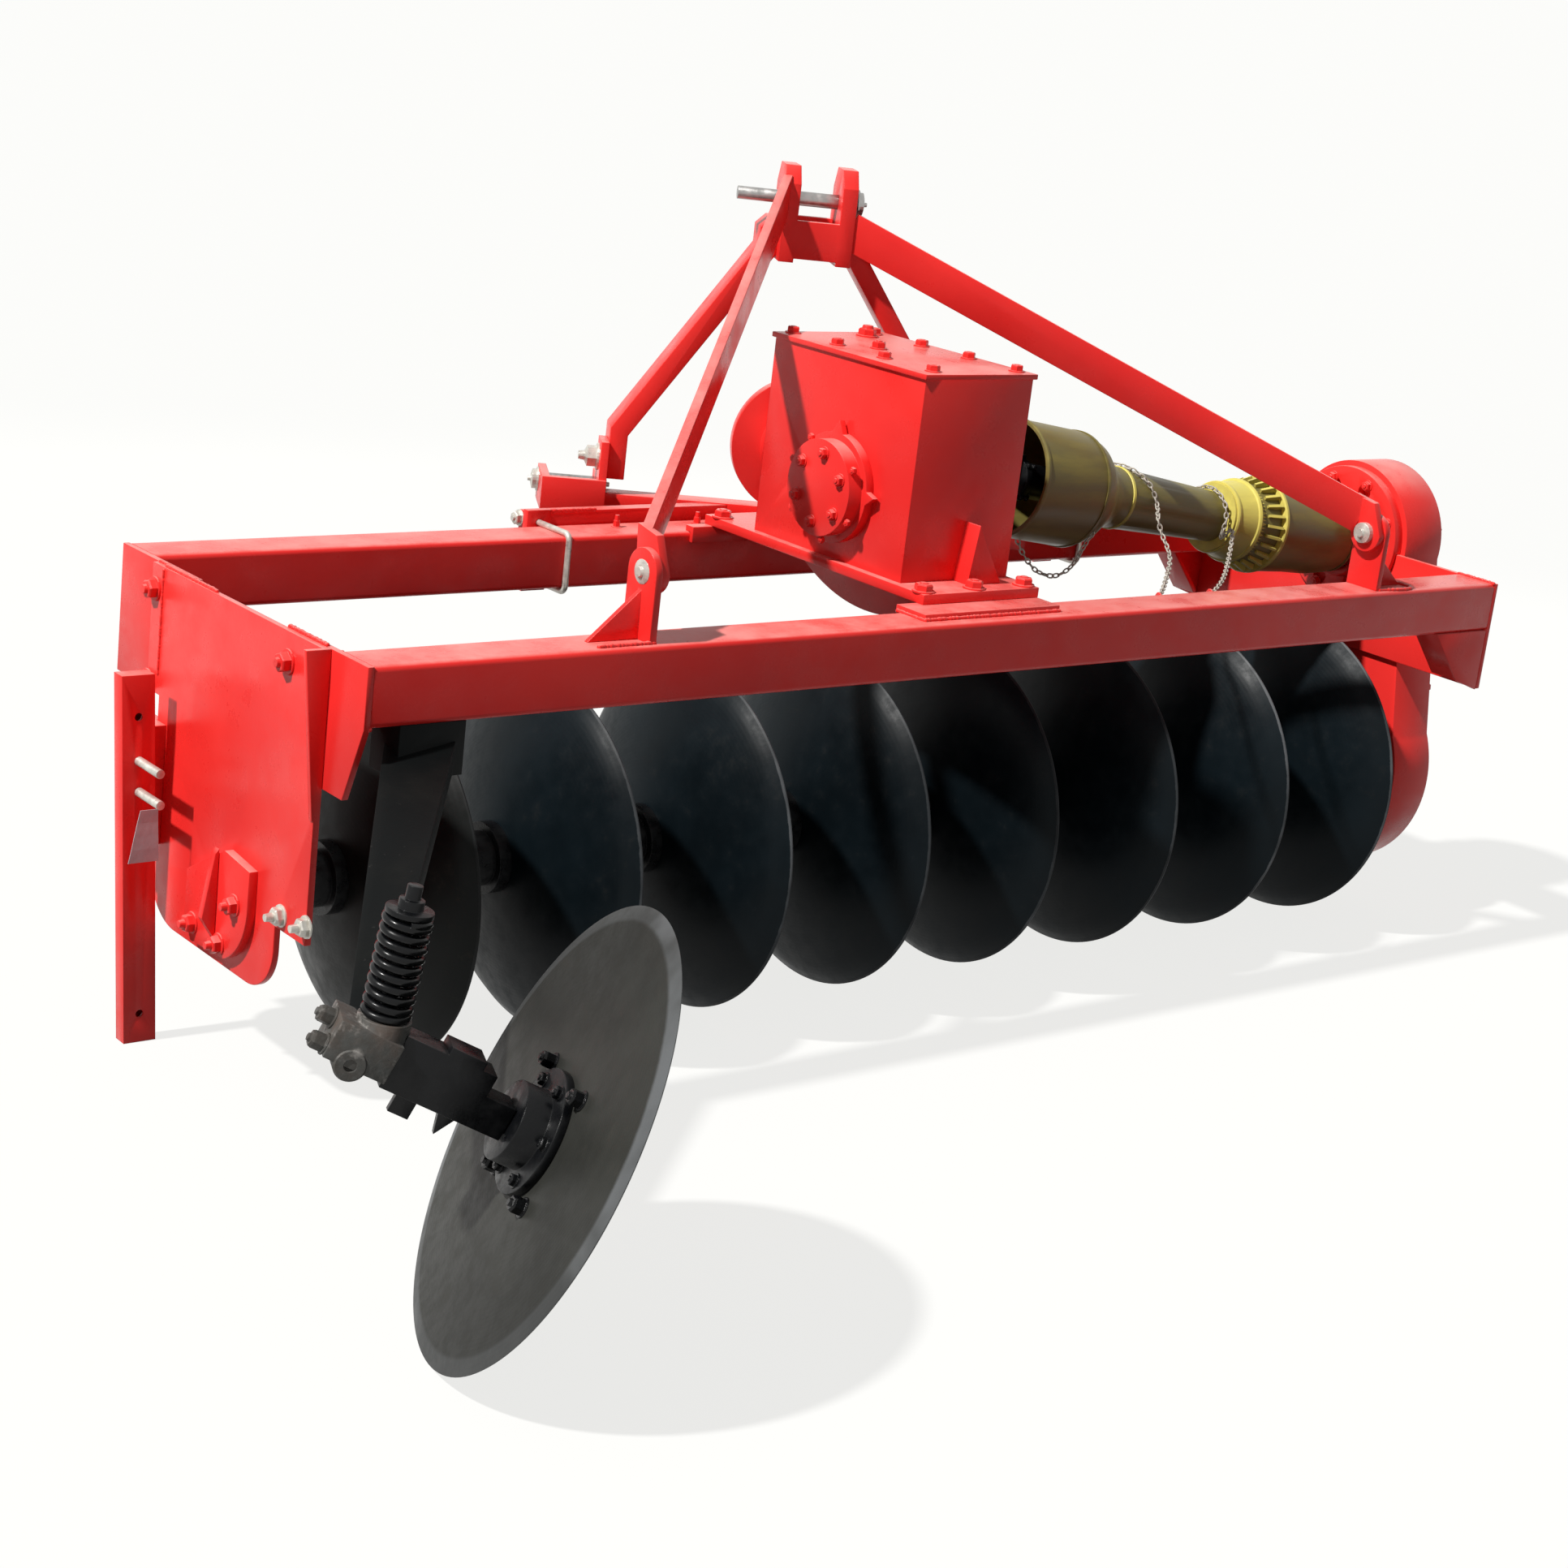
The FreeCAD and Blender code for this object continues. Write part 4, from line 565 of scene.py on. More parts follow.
def finished(node, *finishes, edge=None, sharp=32, second=None):
    """A cleaned and rounded copy of a node in its finish, with a second one where that test holds."""
    cad_shading = ("custom_normal", "sharp_edge", "sharp_face")
    same_place, same_plane = 0.00001, math.radians(0.4)
    copy = bpy.data.objects.new(node + "_copy", frame["nodes"][node].data.copy())
    for name in cad_shading:
        if name in copy.data.attributes:
            copy.data.attributes.remove(copy.data.attributes[name])
    bpy.context.scene.collection.objects.link(copy)
    weld = copy.modifiers.new("join", "WELD")
    weld.merge_threshold = same_place
    flat = copy.modifiers.new("flats", "DECIMATE")
    flat.decimate_type = "DISSOLVE"
    flat.angle_limit = same_plane
    radius = small_parts().edge if edge is None else edge
    if radius:
        bevel = copy.modifiers.new("edges", "BEVEL")
        bevel.width = radius
        bevel.segments = 2
        bevel.limit_method = "ANGLE"
        bevel.angle_limit = math.radians(sharp)
        bevel.use_clamp_overlap = True
    mesh = evaluated(copy)
    mesh.materials.clear()
    for name in finishes or (SLOTS[node],):
        mesh.materials.append(finish_named(name))
    smoothed(mesh, sharp)
    for face in mesh.polygons:
        face.material_index = 1 if second and second(face.center) else 0
    return placed(node + "_finish", mesh, body_of(node), SLOTS[node], node)


def finish_all(*nodes):
    """Finishes the nodes that need nothing of their own."""
    for node in nodes:
        finished(node)


class Tree(Graph):
    """A Geometry Nodes tree with named sizes, which ends in Realize Instances and Set Material."""

    def __init__(self, name):
        self.group = bpy.data.node_groups.new(name, "GeometryNodeTree")
        super().__init__(self.group)
        self.entry = self.put("NodeGroupInput")
        self.exit = self.put("NodeGroupOutput")
        self.keys = {}
        self.group.interface.new_socket("Geometry", in_out="OUTPUT", socket_type="NodeSocketGeometry")
        self.start = self.taken("Geometry", "Geometry")
        self.material = self.taken("Material", "Material")

    def taken(self, label, kind, default=None):
        """A named input of the tree."""
        socket = self.group.interface.new_socket(label, in_out="INPUT", socket_type="NodeSocket" + kind)
        if default is not None:
            socket.default_value = default
        self.keys[label] = socket.identifier
        return self.entry.outputs[label]

    def sizes(self, defaults):
        """Named sizes of the tree, in order; a whole number is a count."""
        return [
            self.taken(label, "Int" if isinstance(default, int) else "Float", default)
            for label, default in defaults.items()
        ]

    def lifted(self, shape, up):
        """The shape, moved up along Z."""
        return self.out("GeometryNodeTransform", {
            "Geometry": shape, "Translation": self.combine(0.0, 0.0, up),
        })

    def drum(self, sides, low, high, depth, start=0.0):
        """A prism or cone that stands on Z."""
        return self.lifted(self.out("GeometryNodeMeshCone", {
            "Vertices": sides, "Radius Bottom": low, "Radius Top": high, "Depth": depth,
        }, fill_type="NGON"), start)

    def circle(self, steps, radius):
        """A round outline."""
        return self.out("GeometryNodeCurvePrimitiveCircle", {"Resolution": steps, "Radius": radius})

    def joined(self, *shapes):
        """Shapes joined into one."""
        node = self.put("GeometryNodeJoinGeometry")
        for shape in shapes:
            self.links.new(shape, node.inputs[0])
        return node.outputs[0]

    def repeated(self, shape, points, **inputs):
        """The shape at each of some points."""
        return self.out("GeometryNodeInstanceOnPoints", {"Points": points, "Instance": shape, **inputs})

    def stamped(self, shape):
        """The shape at each of the tree's own points, turned by their angles."""
        angles = self.put("GeometryNodeInputNamedAttribute", {"Name": "turn"}, data_type="FLOAT_VECTOR")
        turn = self.out("FunctionNodeEulerToRotation", {0: angles.outputs["Attribute"]})
        return self.repeated(shape, self.start, Rotation=turn)

    def end(self, shape, smooth=False):
        """Closes the tree."""
        real = self.out("GeometryNodeRealizeInstances", {"Geometry": shape})
        if smooth:
            real = self.out("GeometryNodeSetShadeSmooth", {"Geometry": real})
        painted = self.out("GeometryNodeSetMaterial", {"Geometry": real, "Material": self.material})
        self.feed(self.exit.inputs[0], painted)
        return self


def fastener_tree():
    """A hexagonal head with a chamfer, on a washer, with the tip of its bolt."""
    tree = Tree("fastener")
    sides, across, high, washer, thick, tip, tip_high, crown = tree.sizes({
        "Sides": 6, "Across": 0.03, "Height": 0.013, "Washer": 0.019, "Washer height": 0.003,
        "Tip": 0.008, "Tip height": 0.006, "Crown": 0.86,
    })
    radius = tree.times(across, 0.5)
    body, top = tree.times(high, 0.78), tree.times(high, 0.22)
    return tree.end(tree.stamped(tree.joined(
        tree.drum(24, washer, tree.times(washer, 0.97), thick),
        tree.drum(sides, radius, radius, body, thick),
        tree.drum(sides, radius, tree.times(radius, crown), top, tree.calc("ADD", thick, body)),
        tree.drum(14, tip, tree.times(tip, 0.82), tip_high, tree.calc("ADD", thick, high)),
    )))


def rib_tree():
    """A block that stands on each point."""
    tree = Tree("rib")
    long, wide, high = tree.sizes({"Length": 0.02, "Width": 0.004, "Height": 0.008})
    block = tree.out("GeometryNodeMeshCube", {"Size": tree.combine(long, wide, high)})
    return tree.end(tree.stamped(tree.lifted(block, tree.times(high, 0.5))))


def round_bar(tree, line, wire, sides):
    """A round bar along a line."""
    return tree.out("GeometryNodeCurveToMesh", {
        "Curve": line, "Profile Curve": tree.circle(sides, tree.times(wire, 0.5)), "Fill Caps": True,
    })


def coil_tree():
    """A helical spring whose end turns lie flat."""
    tree = Tree("coil")
    turns, radius, high, wire = tree.sizes({"Turns": 9.0, "Radius": 0.03, "Height": 0.15, "Wire": 0.012})
    line = tree.out("GeometryNodeCurveSpiral", {
        "Resolution": 40, "Rotations": turns, "Start Radius": radius, "End Radius": radius, "Height": 0.0,
    })
    half = tree.times(wire, 0.5)
    rise = tree.out("ShaderNodeMapRange", {
        "Value": tree.out("GeometryNodeSplineParameter"), "From Min": 0.06, "From Max": 0.94,
        "To Min": half, "To Max": tree.calc("SUBTRACT", high, half),
    })
    raised = tree.out("GeometryNodeSetPosition", {
        "Geometry": line, "Offset": tree.combine(0.0, 0.0, rise),
    })
    return tree.end(tree.stamped(round_bar(tree, raised, wire, 12)), smooth=True)


def along_line(tree, step):
    """The tree's polyline as a smooth curve with evenly spaced points."""
    curve = tree.out("GeometryNodeMeshToCurve", {"Mesh": tree.start})
    smooth = tree.out("GeometryNodeCurveSplineType", {"Curve": curve}, spline_type="CATMULL_ROM")
    return tree.out("GeometryNodeResampleCurve", {"Curve": smooth, "Length": step}, mode="LENGTH")


def chain_tree():
    """Oval links along a line, each turned a quarter from the last."""
    tree = Tree("chain")
    wire = tree.sizes({"Wire": 0.004})[0]
    first_turn, quarter = 0.5, math.pi / 2
    line = along_line(tree, tree.times(wire, 3.4))
    ring = tree.circle(12, tree.times(wire, 1.25))
    oval = tree.out("GeometryNodeTransform", {"Geometry": ring, "Scale": (1.75, 1.0, 1.0)})
    link = round_bar(tree, oval, wire, 6)
    tangent = tree.out("GeometryNodeInputTangent")
    lie = tree.out("FunctionNodeAlignRotationToVector", {"Vector": tangent}, axis="X")
    odd = tree.calc("MODULO", tree.out("GeometryNodeInputIndex"), 2.0)
    roll = tree.combine(tree.calc("ADD", tree.times(odd, quarter), first_turn), 0.0, 0.0)
    turn = tree.out("FunctionNodeRotateRotation", {0: lie, 1: roll}, rotation_space="LOCAL")
    return tree.end(tree.repeated(link, line, Rotation=turn), smooth=True)


def weld_tree():
    """Overlapping beads along a line, each a little different."""
    tree = Tree("weld")
    least, most = 0.78, 1.15
    half, seed = tree.sizes({"Half width": 0.0045, "Seed": 3})
    line = along_line(tree, tree.times(half, 0.8))
    bead = tree.out("GeometryNodeMeshIcoSphere", {"Radius": half, "Subdivisions": 2})
    vary = tree.put("FunctionNodeRandomValue", {2: least, 3: most, "Seed": seed}, data_type="FLOAT")
    return tree.end(tree.repeated(bead, line, Scale=vary.outputs[1]), smooth=True)


TREES = {
    "fastener": fastener_tree,
    "rib": rib_tree,
    "coil": coil_tree,
    "chain": chain_tree,
    "weld": weld_tree,
}
made_trees = {}


def tree_named(name):
    """A tree by its name, built the first time it is wanted."""
    if name not in made_trees:
        made_trees[name] = TREES[name]()
    return made_trees[name]


def grown(name, tree_name, mesh, sizes, finish="red_paint", body="machine", slot="red_paint", *nodes):
    """What a tree makes of a mesh of points or lines, as a plain piece."""
    tree = tree_named(tree_name)
    source = bpy.data.objects.new(name + "_points", mesh)
    bpy.context.scene.collection.objects.link(source)
    modifier = source.modifiers.new(tree_name, "NODES")
    modifier.node_group = tree.group
    for label, value in sizes.items():
        modifier[tree.keys[label]] = value
    modifier[tree.keys["Material"]] = finish_named(finish)
    result = evaluated(source)
    if "turn" in result.attributes:
        result.attributes.remove(result.attributes["turn"])
    if not len(result.polygons):
        raise RuntimeError(f"{name} came out empty")
    return placed(name, result, body, slot, *nodes)


def point_mesh(name, spots):
    """Points from pairs of a place and Euler angles, with the angles as their attribute."""
    mesh = bpy.data.meshes.new(name)
    mesh.from_pydata([place for place, angles in spots], [], [])
    turn = mesh.attributes.new("turn", "FLOAT_VECTOR", "POINT")
    for index, (place, angles) in enumerate(spots):
        turn.data[index].vector = tuple(angles)
    return mesh


def line_mesh(name, lines):
    """Polylines as a mesh of edges."""
    mesh = bpy.data.meshes.new(name)
    places, edges = [], []
    for line in lines:
        start = len(places)
        places += [tuple(place) for place in line]
        edges += [(start + step, start + step + 1) for step in range(len(line) - 1)]
    mesh.from_pydata(places, edges, [])
    return mesh


def bolts(name, spots, across, finish="red_paint", body="machine", slot=None, **sizes):
    """Fasteners at (place, axis) spots; the sizes not given follow the head's."""
    spins = random.Random(name)
    rows = [(place, turned_to(axis, spins.uniform(0, math.pi))) for place, axis in spots]
    values = {
        "Sides": 6, "Across": across, "Height": 0.42 * across, "Washer": 0.62 * across,
        "Washer height": 0.09 * across, "Tip": 0.25 * across, "Tip height": 0.16 * across, "Crown": 0.86,
    }
    values.update({label.replace("_", " ").capitalize(): value for label, value in sizes.items()})
    slot = slot or ("red_paint" if finish == "red_paint" else "zinc_steel")
    return grown(name, "fastener", point_mesh(name, rows), values, finish, body, slot)


def welds(name, lines, half=None):
    """Painted weld beads along lines."""
    return grown(name, "weld", line_mesh(name, lines), {"Half width": half or small_parts().weld})


def wrapped_faces(rows, count, closed):
    """Faces round rows of so many points each, and back to the first row when closed."""
    faces = []
    for row in range(rows if closed else rows - 1):
        here, there = row * count, (row + 1) % rows * count
        for index in range(count):
            after = (index + 1) % count
            faces.append((here + index, here + after, there + after, there + index))
    return faces


def closed_mesh(name, points, faces, finish):
    """A closed mesh in one finish, whose faces look outwards."""
    mesh = bpy.data.meshes.new(name)
    mesh.from_pydata(points, [], faces)
    shape = bmesh.new()
    shape.from_mesh(mesh)
    bmesh.ops.recalc_face_normals(shape, faces=shape.faces)
    shape.to_mesh(mesh)
    shape.free()
    mesh.materials.append(finish_named(finish))
    return mesh


def revolved(name, profile, place, axis, finish="red_paint", slot="red_paint", steps=72):
    """A closed ring: a profile of (along, radius) pairs in millimetres, turned about an axis."""
    turn = axis.to_track_quat("X", "Z").to_matrix()
    points = [
        place + turn @ (Vector((along, radius * across, radius * up)) * MM)
        for across, up in on_circle(steps, 1) for along, radius in profile
    ]
    mesh = closed_mesh(name, points, wrapped_faces(steps, len(profile), closed=True), finish)
    smoothed(mesh, 30)
    return placed(name, mesh, "machine", slot)


# ---------------------------------------------------------------- groups of pieces

def build_frame():
    """The two beams, their end plates and gussets, with the welds between them."""
    finish_all(
        "rear_beam", "front_beam", "left_rear_plate", "left_front_plate", "right_side_plate",
        "right_rear_gusset", "right_front_gusset", "left_side_plate",
    )
    lines = [
        [at(across, start + 4, up), at(across, start + BEAM - 4, up)]
        for start in (0, FRONT_BEAM)
        for across, up in ((BEAM_START, -BEAM), (FRAME_END, -BEAM), (FRAME_END, 0))
    ]
    lines += [
        [at(BEAM_START, BEAM, -4), at(BEAM_START, BEAM, 4 - BEAM)],
        [at(2, 130, 1), at(2, 245, 1)],
        [at(0, 555, 0), at(0, 690, 0)],
        [at(-6, 655, 1), at(-6, 478, 1)],
    ]
    welds("frame_welds", lines)


def build_left_end():
    """The bearing in the left side plate, its cap, and the bolts of the plate."""
    finish_all("left_bearing", "left_bearing_cap")
    bolt = small_parts().bolt
    plate, cap = -12, -28
    bolts("side_plate_bolts", facing(
        LEFT, at(plate, 683, -44), at(plate, 221, -49), at(plate, 693, -208),
    ), bolt * 1.15)
    bolts("side_plate_zinc_bolts", facing(
        LEFT, at(plate, 189, -464), at(plate, 108, -455),
    ), bolt * 1.05, "zinc_steel", tip_height=0.014)
    bolts("bearing_cap_bolts", facing(
        LEFT, at(cap, 454, -565), at(cap, 315, -487), at(cap, 359, -570),
    ), bolt * 1.05, tip_height=0.010)
    welds("plate_seam", [[at(plate, 655, -6), at(plate, 657, -186)]], half=0.003)
    welds("bearing_fin_weld", [[at(cap - 1, 381, -422), at(cap - 1, 381, -560)]], half=0.0035)


def build_discs():
    """The eight driven discs."""
    for index in range(1, 9):
        finished(f"disc_{index}", "first_disc" if index == 1 else "disc_steel", edge=0, sharp=40)


def build_gang_shaft():
    """The gang's shaft and the spools between its discs."""
    finished("gang_shaft")
    finished("gang_spools", edge=0)


def build_side_drive():
    """The case on the right end with its ring of bolts, its caps and its bearing flange."""
    finish_all("side_case", "side_bearing_ring")
    small = small_parts().small_bolt
    ahead, up = SIDE_SHAFT
    ring = [at(SIDE_RING_FACE, ahead + y, up + z) for y, z in on_circle(8, 128, 22.5)]
    bolts("side_ring_bolts", facing(LEFT, *ring), small, tip_height=0.002)
    build_bearing_webs()
    low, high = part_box("side_case")
    middle = (low.y + high.y) / 2
    top_radius, foot_radius = 0.145, 0.215
    rim = []
    for y, z in on_circle(12, 1, 15):
        radius, centre = (top_radius, high.z - 0.162) if z > 0 else (foot_radius, low.z + 0.24)
        rim.append(Vector((high.x, middle + radius * y, centre + radius * z)))
    for down in (0.18, 0.30, 0.42):
        for side in (-1, 1):
            rim.append(Vector((high.x, middle + side * (0.150 + down * 0.09), high.z - down - 0.05)))
    bolts("side_case_bolts", facing(RIGHT, *rim), small)
    for name, height, radius in (("side_shaft_cap", up, 62), ("side_gang_cap", SIDE_GANG_UP, 78)):
        revolved(name, [
            (0, 0.5), (16, 0.5), (16, radius - 20), (11, radius - 8), (4, radius), (0, radius),
        ], Vector((high.x, *at(0, ahead, height)[1:])), RIGHT, steps=48)


def build_bearing_webs():
    """The raised hub and webs on the round bearing flange of the side drive."""
    face = at(SIDE_RING_FACE, *SIDE_SHAFT)
    revolved("side_bearing_hub", [
        (-24, 76), (-26, 78), (-26, 87), (-24, 89), (2, 94), (2, 76),
    ], face, RIGHT, steps=64)
    outs = [Vector((0, y, z)) for y, z in on_circle(4, 1, 45)]
    rows = [(face + out * 0.104, turned_by(out, LEFT.cross(out))) for out in outs]
    grown("side_bearing_webs", "rib", point_mesh("webs", rows), {
        "Length": 0.040, "Width": 0.012, "Height": 0.021,
    })


def build_gearbox():
    """The gearbox with its cover, foot, pads and left cap, and their bolts."""
    finish_all("gearbox_housing", "gearbox_cover", "gearbox_foot", "gearbox_pads", "gearbox_side_cap")
    small, bolt = small_parts().small_bolt, small_parts().bolt
    top, foot = 414, 31
    cover = (
        (1242, 601), (1246, 472), (1245, 334), (1247, 200),
        (1452, 200), (1450, 331), (1446, 462), (1436, 590),
    )
    bolts("gearbox_cover_bolts", facing(
        UP, *(at(*spot, top) for spot in cover),
    ), small * 1.2, height=0.010, tip_height=0.001)
    bolts("gearbox_filler_plug", facing(UP, at(1312, 431, top)), small * 1.3, tip_height=0.002)
    bolts("gearbox_breather", facing(
        UP, at(1398, 568, top),
    ), small * 1.7, height=0.012, tip=0.012, tip_height=0.006)
    cap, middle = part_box("gearbox_side_cap")[0].x, at(0, 381, 165)
    bolts("side_cap_bolts", facing(LEFT, *(
        Vector((cap, middle.y + y, middle.z + z)) for y, z in on_circle(6, 0.066, 37)
    )), small, height=0.009, tip_height=0.002)
    rim = at(1175, 0, 0).x
    bolts("side_cap_rim_bolts", facing(LEFT, *(
        Vector((rim, middle.y + y, middle.z + z))
        for y, z in (polar(0.0965, angle) for angle in (22, 150, 62, -100, -150, -35))
    )), small * 0.72, washer=0.0065, tip_height=0.001)
    feet = ((1212, 112), (1459, 112), (1212, 716), (1330, 716), (1459, 716), (1335, 112))
    bolts("gearbox_foot_bolts", facing(
        UP, *(at(*spot, foot) for spot in feet),
    ), bolt * 1.15, height=0.012, tip_height=0.002)
    welds("gearbox_welds", [
        [at(1150, 30, 1), at(1150, 104, 1)],
        [at(1151, 29, 2), at(1479, 29, 2)],
    ], half=0.004)


def build_shafts():
    """The splined input shaft, the two stub shafts and the drive shaft."""
    finish_all("gearbox_output_stub", "drive_shaft", "side_input_stub")
    spline_shaft()
    spots = [
        (drive_at(along, 41, angle), drive_out(angle))
        for along in (52, 68) for angle in (45, 135, 225, 315)
    ]
    bolts("joint_bolts", spots, 0.013, "dark_steel", "drive", "dark_steel")


def spline_shaft():
    """The input shaft with its shoulder and six splines, which stands for the plain bar."""
    node = "pto_input_shaft"
    bar_radius, steps, splines = 17.45, 72, 6
    low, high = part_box(node)
    corners = [Vector((x, y, INPUT_MIDDLE.z)) for x in (low.x, high.x) for y in (low.y, high.y)]
    tip = max((corner - INPUT_MIDDLE).dot(INPUT_AXIS) for corner in corners) - 0.5 * bar_radius * MM
    turn = INPUT_AXIS.to_track_quat("X", "Z").to_matrix()
    # rings back from the tip, each with the radius of its splines and of the grooves between them
    rings = (
        (200, 21, 21), (77, 21, 21), (76, 17.2, 17.2), (65, 17.2, 17.2), (61, 17.4, 14.6), (30, 17.4, 14.6),
        (29, 14.2, 14.2), (22, 14.2, 14.2), (21, 17.4, 14.6), (3, 17.4, 14.6), (0, 14.6, 13.6),
    )
    points = []
    for back, crest, root in rings:
        for step, (y, z) in enumerate(on_circle(steps, 1)):
            raised = 0.25 < splines * step / steps % 1 < 0.75
            radius = (crest if raised else root) * MM
            points.append(INPUT_MIDDLE + turn @ Vector((tip - back * MM, radius * y, radius * z)))
    last = (len(rings) - 1) * steps
    faces = [tuple(range(steps)), tuple(range(last, last + steps))]
    faces += wrapped_faces(len(rings), steps, closed=False)
    mesh = closed_mesh(node, points, faces, "bare_steel")
    placed("splined_input_shaft", mesh, body_of(node), SLOTS[node], node)


def build_guards():
    """The plastic guards with the ribbed bearing between them, and the chains that hold them."""
    finished("drive_guard_left", "guard_plastic", edge=0, sharp=28)
    collar_end = 0.724
    finished(
        "drive_guard_right", "guard_plastic", "guard_yellow", edge=0, sharp=28,
        second=lambda place: (place - DRIVE_START).dot(DRIVE_AXIS) < collar_end,
    )
    for name, profile, finish in (
        ("guard_cup_rim", [(26, 112.5), (26, 118), (29, 120.5), (35, 120), (39, 116)], "guard_plastic"),
        ("guard_cup_seam", [(200, 115), (200, 118.6), (206, 118.6), (209, 115)], "guard_plastic"),
        ("guard_neck_bead", [(333, 61), (335, 65), (341, 65), (344, 61)], "guard_yellow"),
        ("guard_collar_start", [(646, 68), (646, 75), (650, 77), (656, 76.5), (658, 71)], "guard_yellow"),
        ("guard_collar_lip", [(698, 80), (701, 88), (706, 90), (711, 88), (716, 77)], "guard_yellow"),
        ("guard_collar_rim", [(769, 90), (769, 101), (772, 103.5), (778, 103.5), (781, 99)], "guard_yellow"),
        ("guard_flare_end", [(1040, 60), (1040, 69.5), (1046, 69.5), (1050, 62)], "guard_plastic"),
    ):
        revolved(name, profile, DRIVE_START, DRIVE_AXIS, finish, "guard_plastic", 96)
    ribs, slope = small_parts().ribs, math.radians(21)
    rows = []
    for index in range(ribs):
        angle = 360 * index / ribs
        out = drive_out(angle)
        along = DRIVE_AXIS * math.cos(slope) + out * math.sin(slope)
        rows.append((drive_at(752, 82, angle), turned_by(along, out.cross(DRIVE_AXIS))))
    grown("guard_collar_ribs", "rib", point_mesh("ribs", rows), {
        "Length": 0.036, "Width": 0.0058, "Height": 0.0150,
    }, "guard_yellow", "machine", "guard_plastic")
    build_chains()


def build_chains():
    """The two guard chains to the rear beam and the slack loop under the cup."""
    left = [
        drive_at(318, 68, -62), drive_at(330, 68, -25), drive_at(352, 67, 10), drive_at(380, 67, 45),
        drive_at(400, 67, 80), at(2006, 312, 92), at(2009, 300, 66), at(1990, 250, 28),
        at(1900, 170, -2), at(1820, 106, -12),
    ]
    right = [
        drive_at(622, 58, -150), drive_at(618, 60, -100), drive_at(616, 60, -50), drive_at(617, 60, 0),
        drive_at(620, 61, 45), drive_at(624, 62, 85), drive_at(622, 70, 118), at(2236, 318, 60),
        at(2170, 255, 26), at(2060, 165, 0), at(1963, 106, -12),
    ]
    loop = [
        drive_at(212, 118, 128), drive_at(214, 124, 140), drive_at(208, 158, 156), drive_at(184, 178, 164),
        drive_at(150, 172, 170), drive_at(120, 146, 174), drive_at(100, 121, 176),
    ]
    wire = {"Wire": small_parts().link}
    for name, line in (("guard_chain_left", left), ("guard_chain_right", right), ("guard_chain_loop", loop)):
        grown(name, "chain", line_mesh(name, [line]), wire, "chain_steel", "machine", "zinc_steel")
    across_chain = Vector((0.4, 1, 0)).normalized().cross(UP)
    for name, across in (("chain_eye_left", 1818), ("chain_eye_right", 1961)):
        revolved(name, [
            (-3, 8), (-1.5, 6.5), (1.5, 6.5), (3, 8), (3, 12), (1.5, 13.5), (-1.5, 13.5), (-3, 12),
        ], at(across, 104, -12), across_chain, steps=24)


def build_hitch():
    """The three-point hitch: bar, clevises, rail, clamps, mast, struts and braces."""
    finish_all(
        "hitch_bar", "hitch_end_left", "hitch_end_right", "lower_link_pin_left", "lower_link_pin_right",
        "hitch_rail", "hitch_stay_right", "mast_head", "top_link_pin",
        "mast_strut_left", "mast_strut_right", "hitch_brace_left", "hitch_brace_right",
        "brace_bracket_left", "brace_bracket_right",
    )
    plate_rear, plate_front = at(0, 834.5, 0).y, at(0, 850.5, 0).y
    for node in ("hitch_clamp_left", "hitch_clamp_right"):
        finished(node, "zinc_steel", "red_paint", second=lambda place: plate_rear < place.y < plate_front)
    bolts("brace_bolts", facing(
        LEFT, at(549, 52, 113), at(2338, 52, 113),
    ), 0.042, "zinc_steel", sides=20, crown=0.55, height=0.014, washer=0.024, tip=0.010, tip_height=0.004)
    bolts("brace_nuts", facing(RIGHT, at(561, 52, 113), at(2362, 52, 113)), 0.034, "zinc_steel")
    bolts("clamp_nuts", facing(
        LEFT, at(842, 872, 8), at(2188, 872, 18), at(842, 872, -112),
    ), 0.026, "zinc_steel", tip_height=0.004)
    bolts("front_beam_studs", facing(
        UP, at(1020, 800, 0), at(1215, 800, 0),
    ), 0.014, washer=0.011, height=0.012, tip=0.005, tip_height=0.010)
    bolts("strut_bolts", [
        (hitch_at(side * 386, 12, 92), HITCH_ACROSS * side) for side in (-1, 1)
    ], 0.044, "zinc_steel", height=0.024, crown=0.5, tip=0.010, tip_height=0.012)
    bolts("lower_link_pin_ends", [
        (hitch_at(across, 65, 26), HITCH_ACROSS * way)
        for across, way in ((-498, -1), (-374, 1), (374, -1), (498, 1))
    ], 0.040, "zinc_steel", sides=24, crown=0.6, height=0.011, tip=0.006)
    bolts("top_link_pin_head", [
        (hitch_at(73, 0, 640), HITCH_ACROSS),
    ], 0.046, "bare_steel", slot="bare_steel", sides=24, crown=0.7, height=0.010, tip=0.005)
    welds("hitch_welds", [
        [hitch_at(-482, -40, 26), hitch_at(-482, 40, 26)],
        [hitch_at(482, -40, 26), hitch_at(482, 40, 26)],
        [hitch_at(-330, -42, 1), hitch_at(330, -42, 1)],
        [at(852, 849, 24), at(1000, 849, 24)],
        [at(2362, 14, 1), at(2462, 14, 1), at(2462, 90, 1)],
        [at(437, 14, 1), at(547, 14, 1)],
    ])


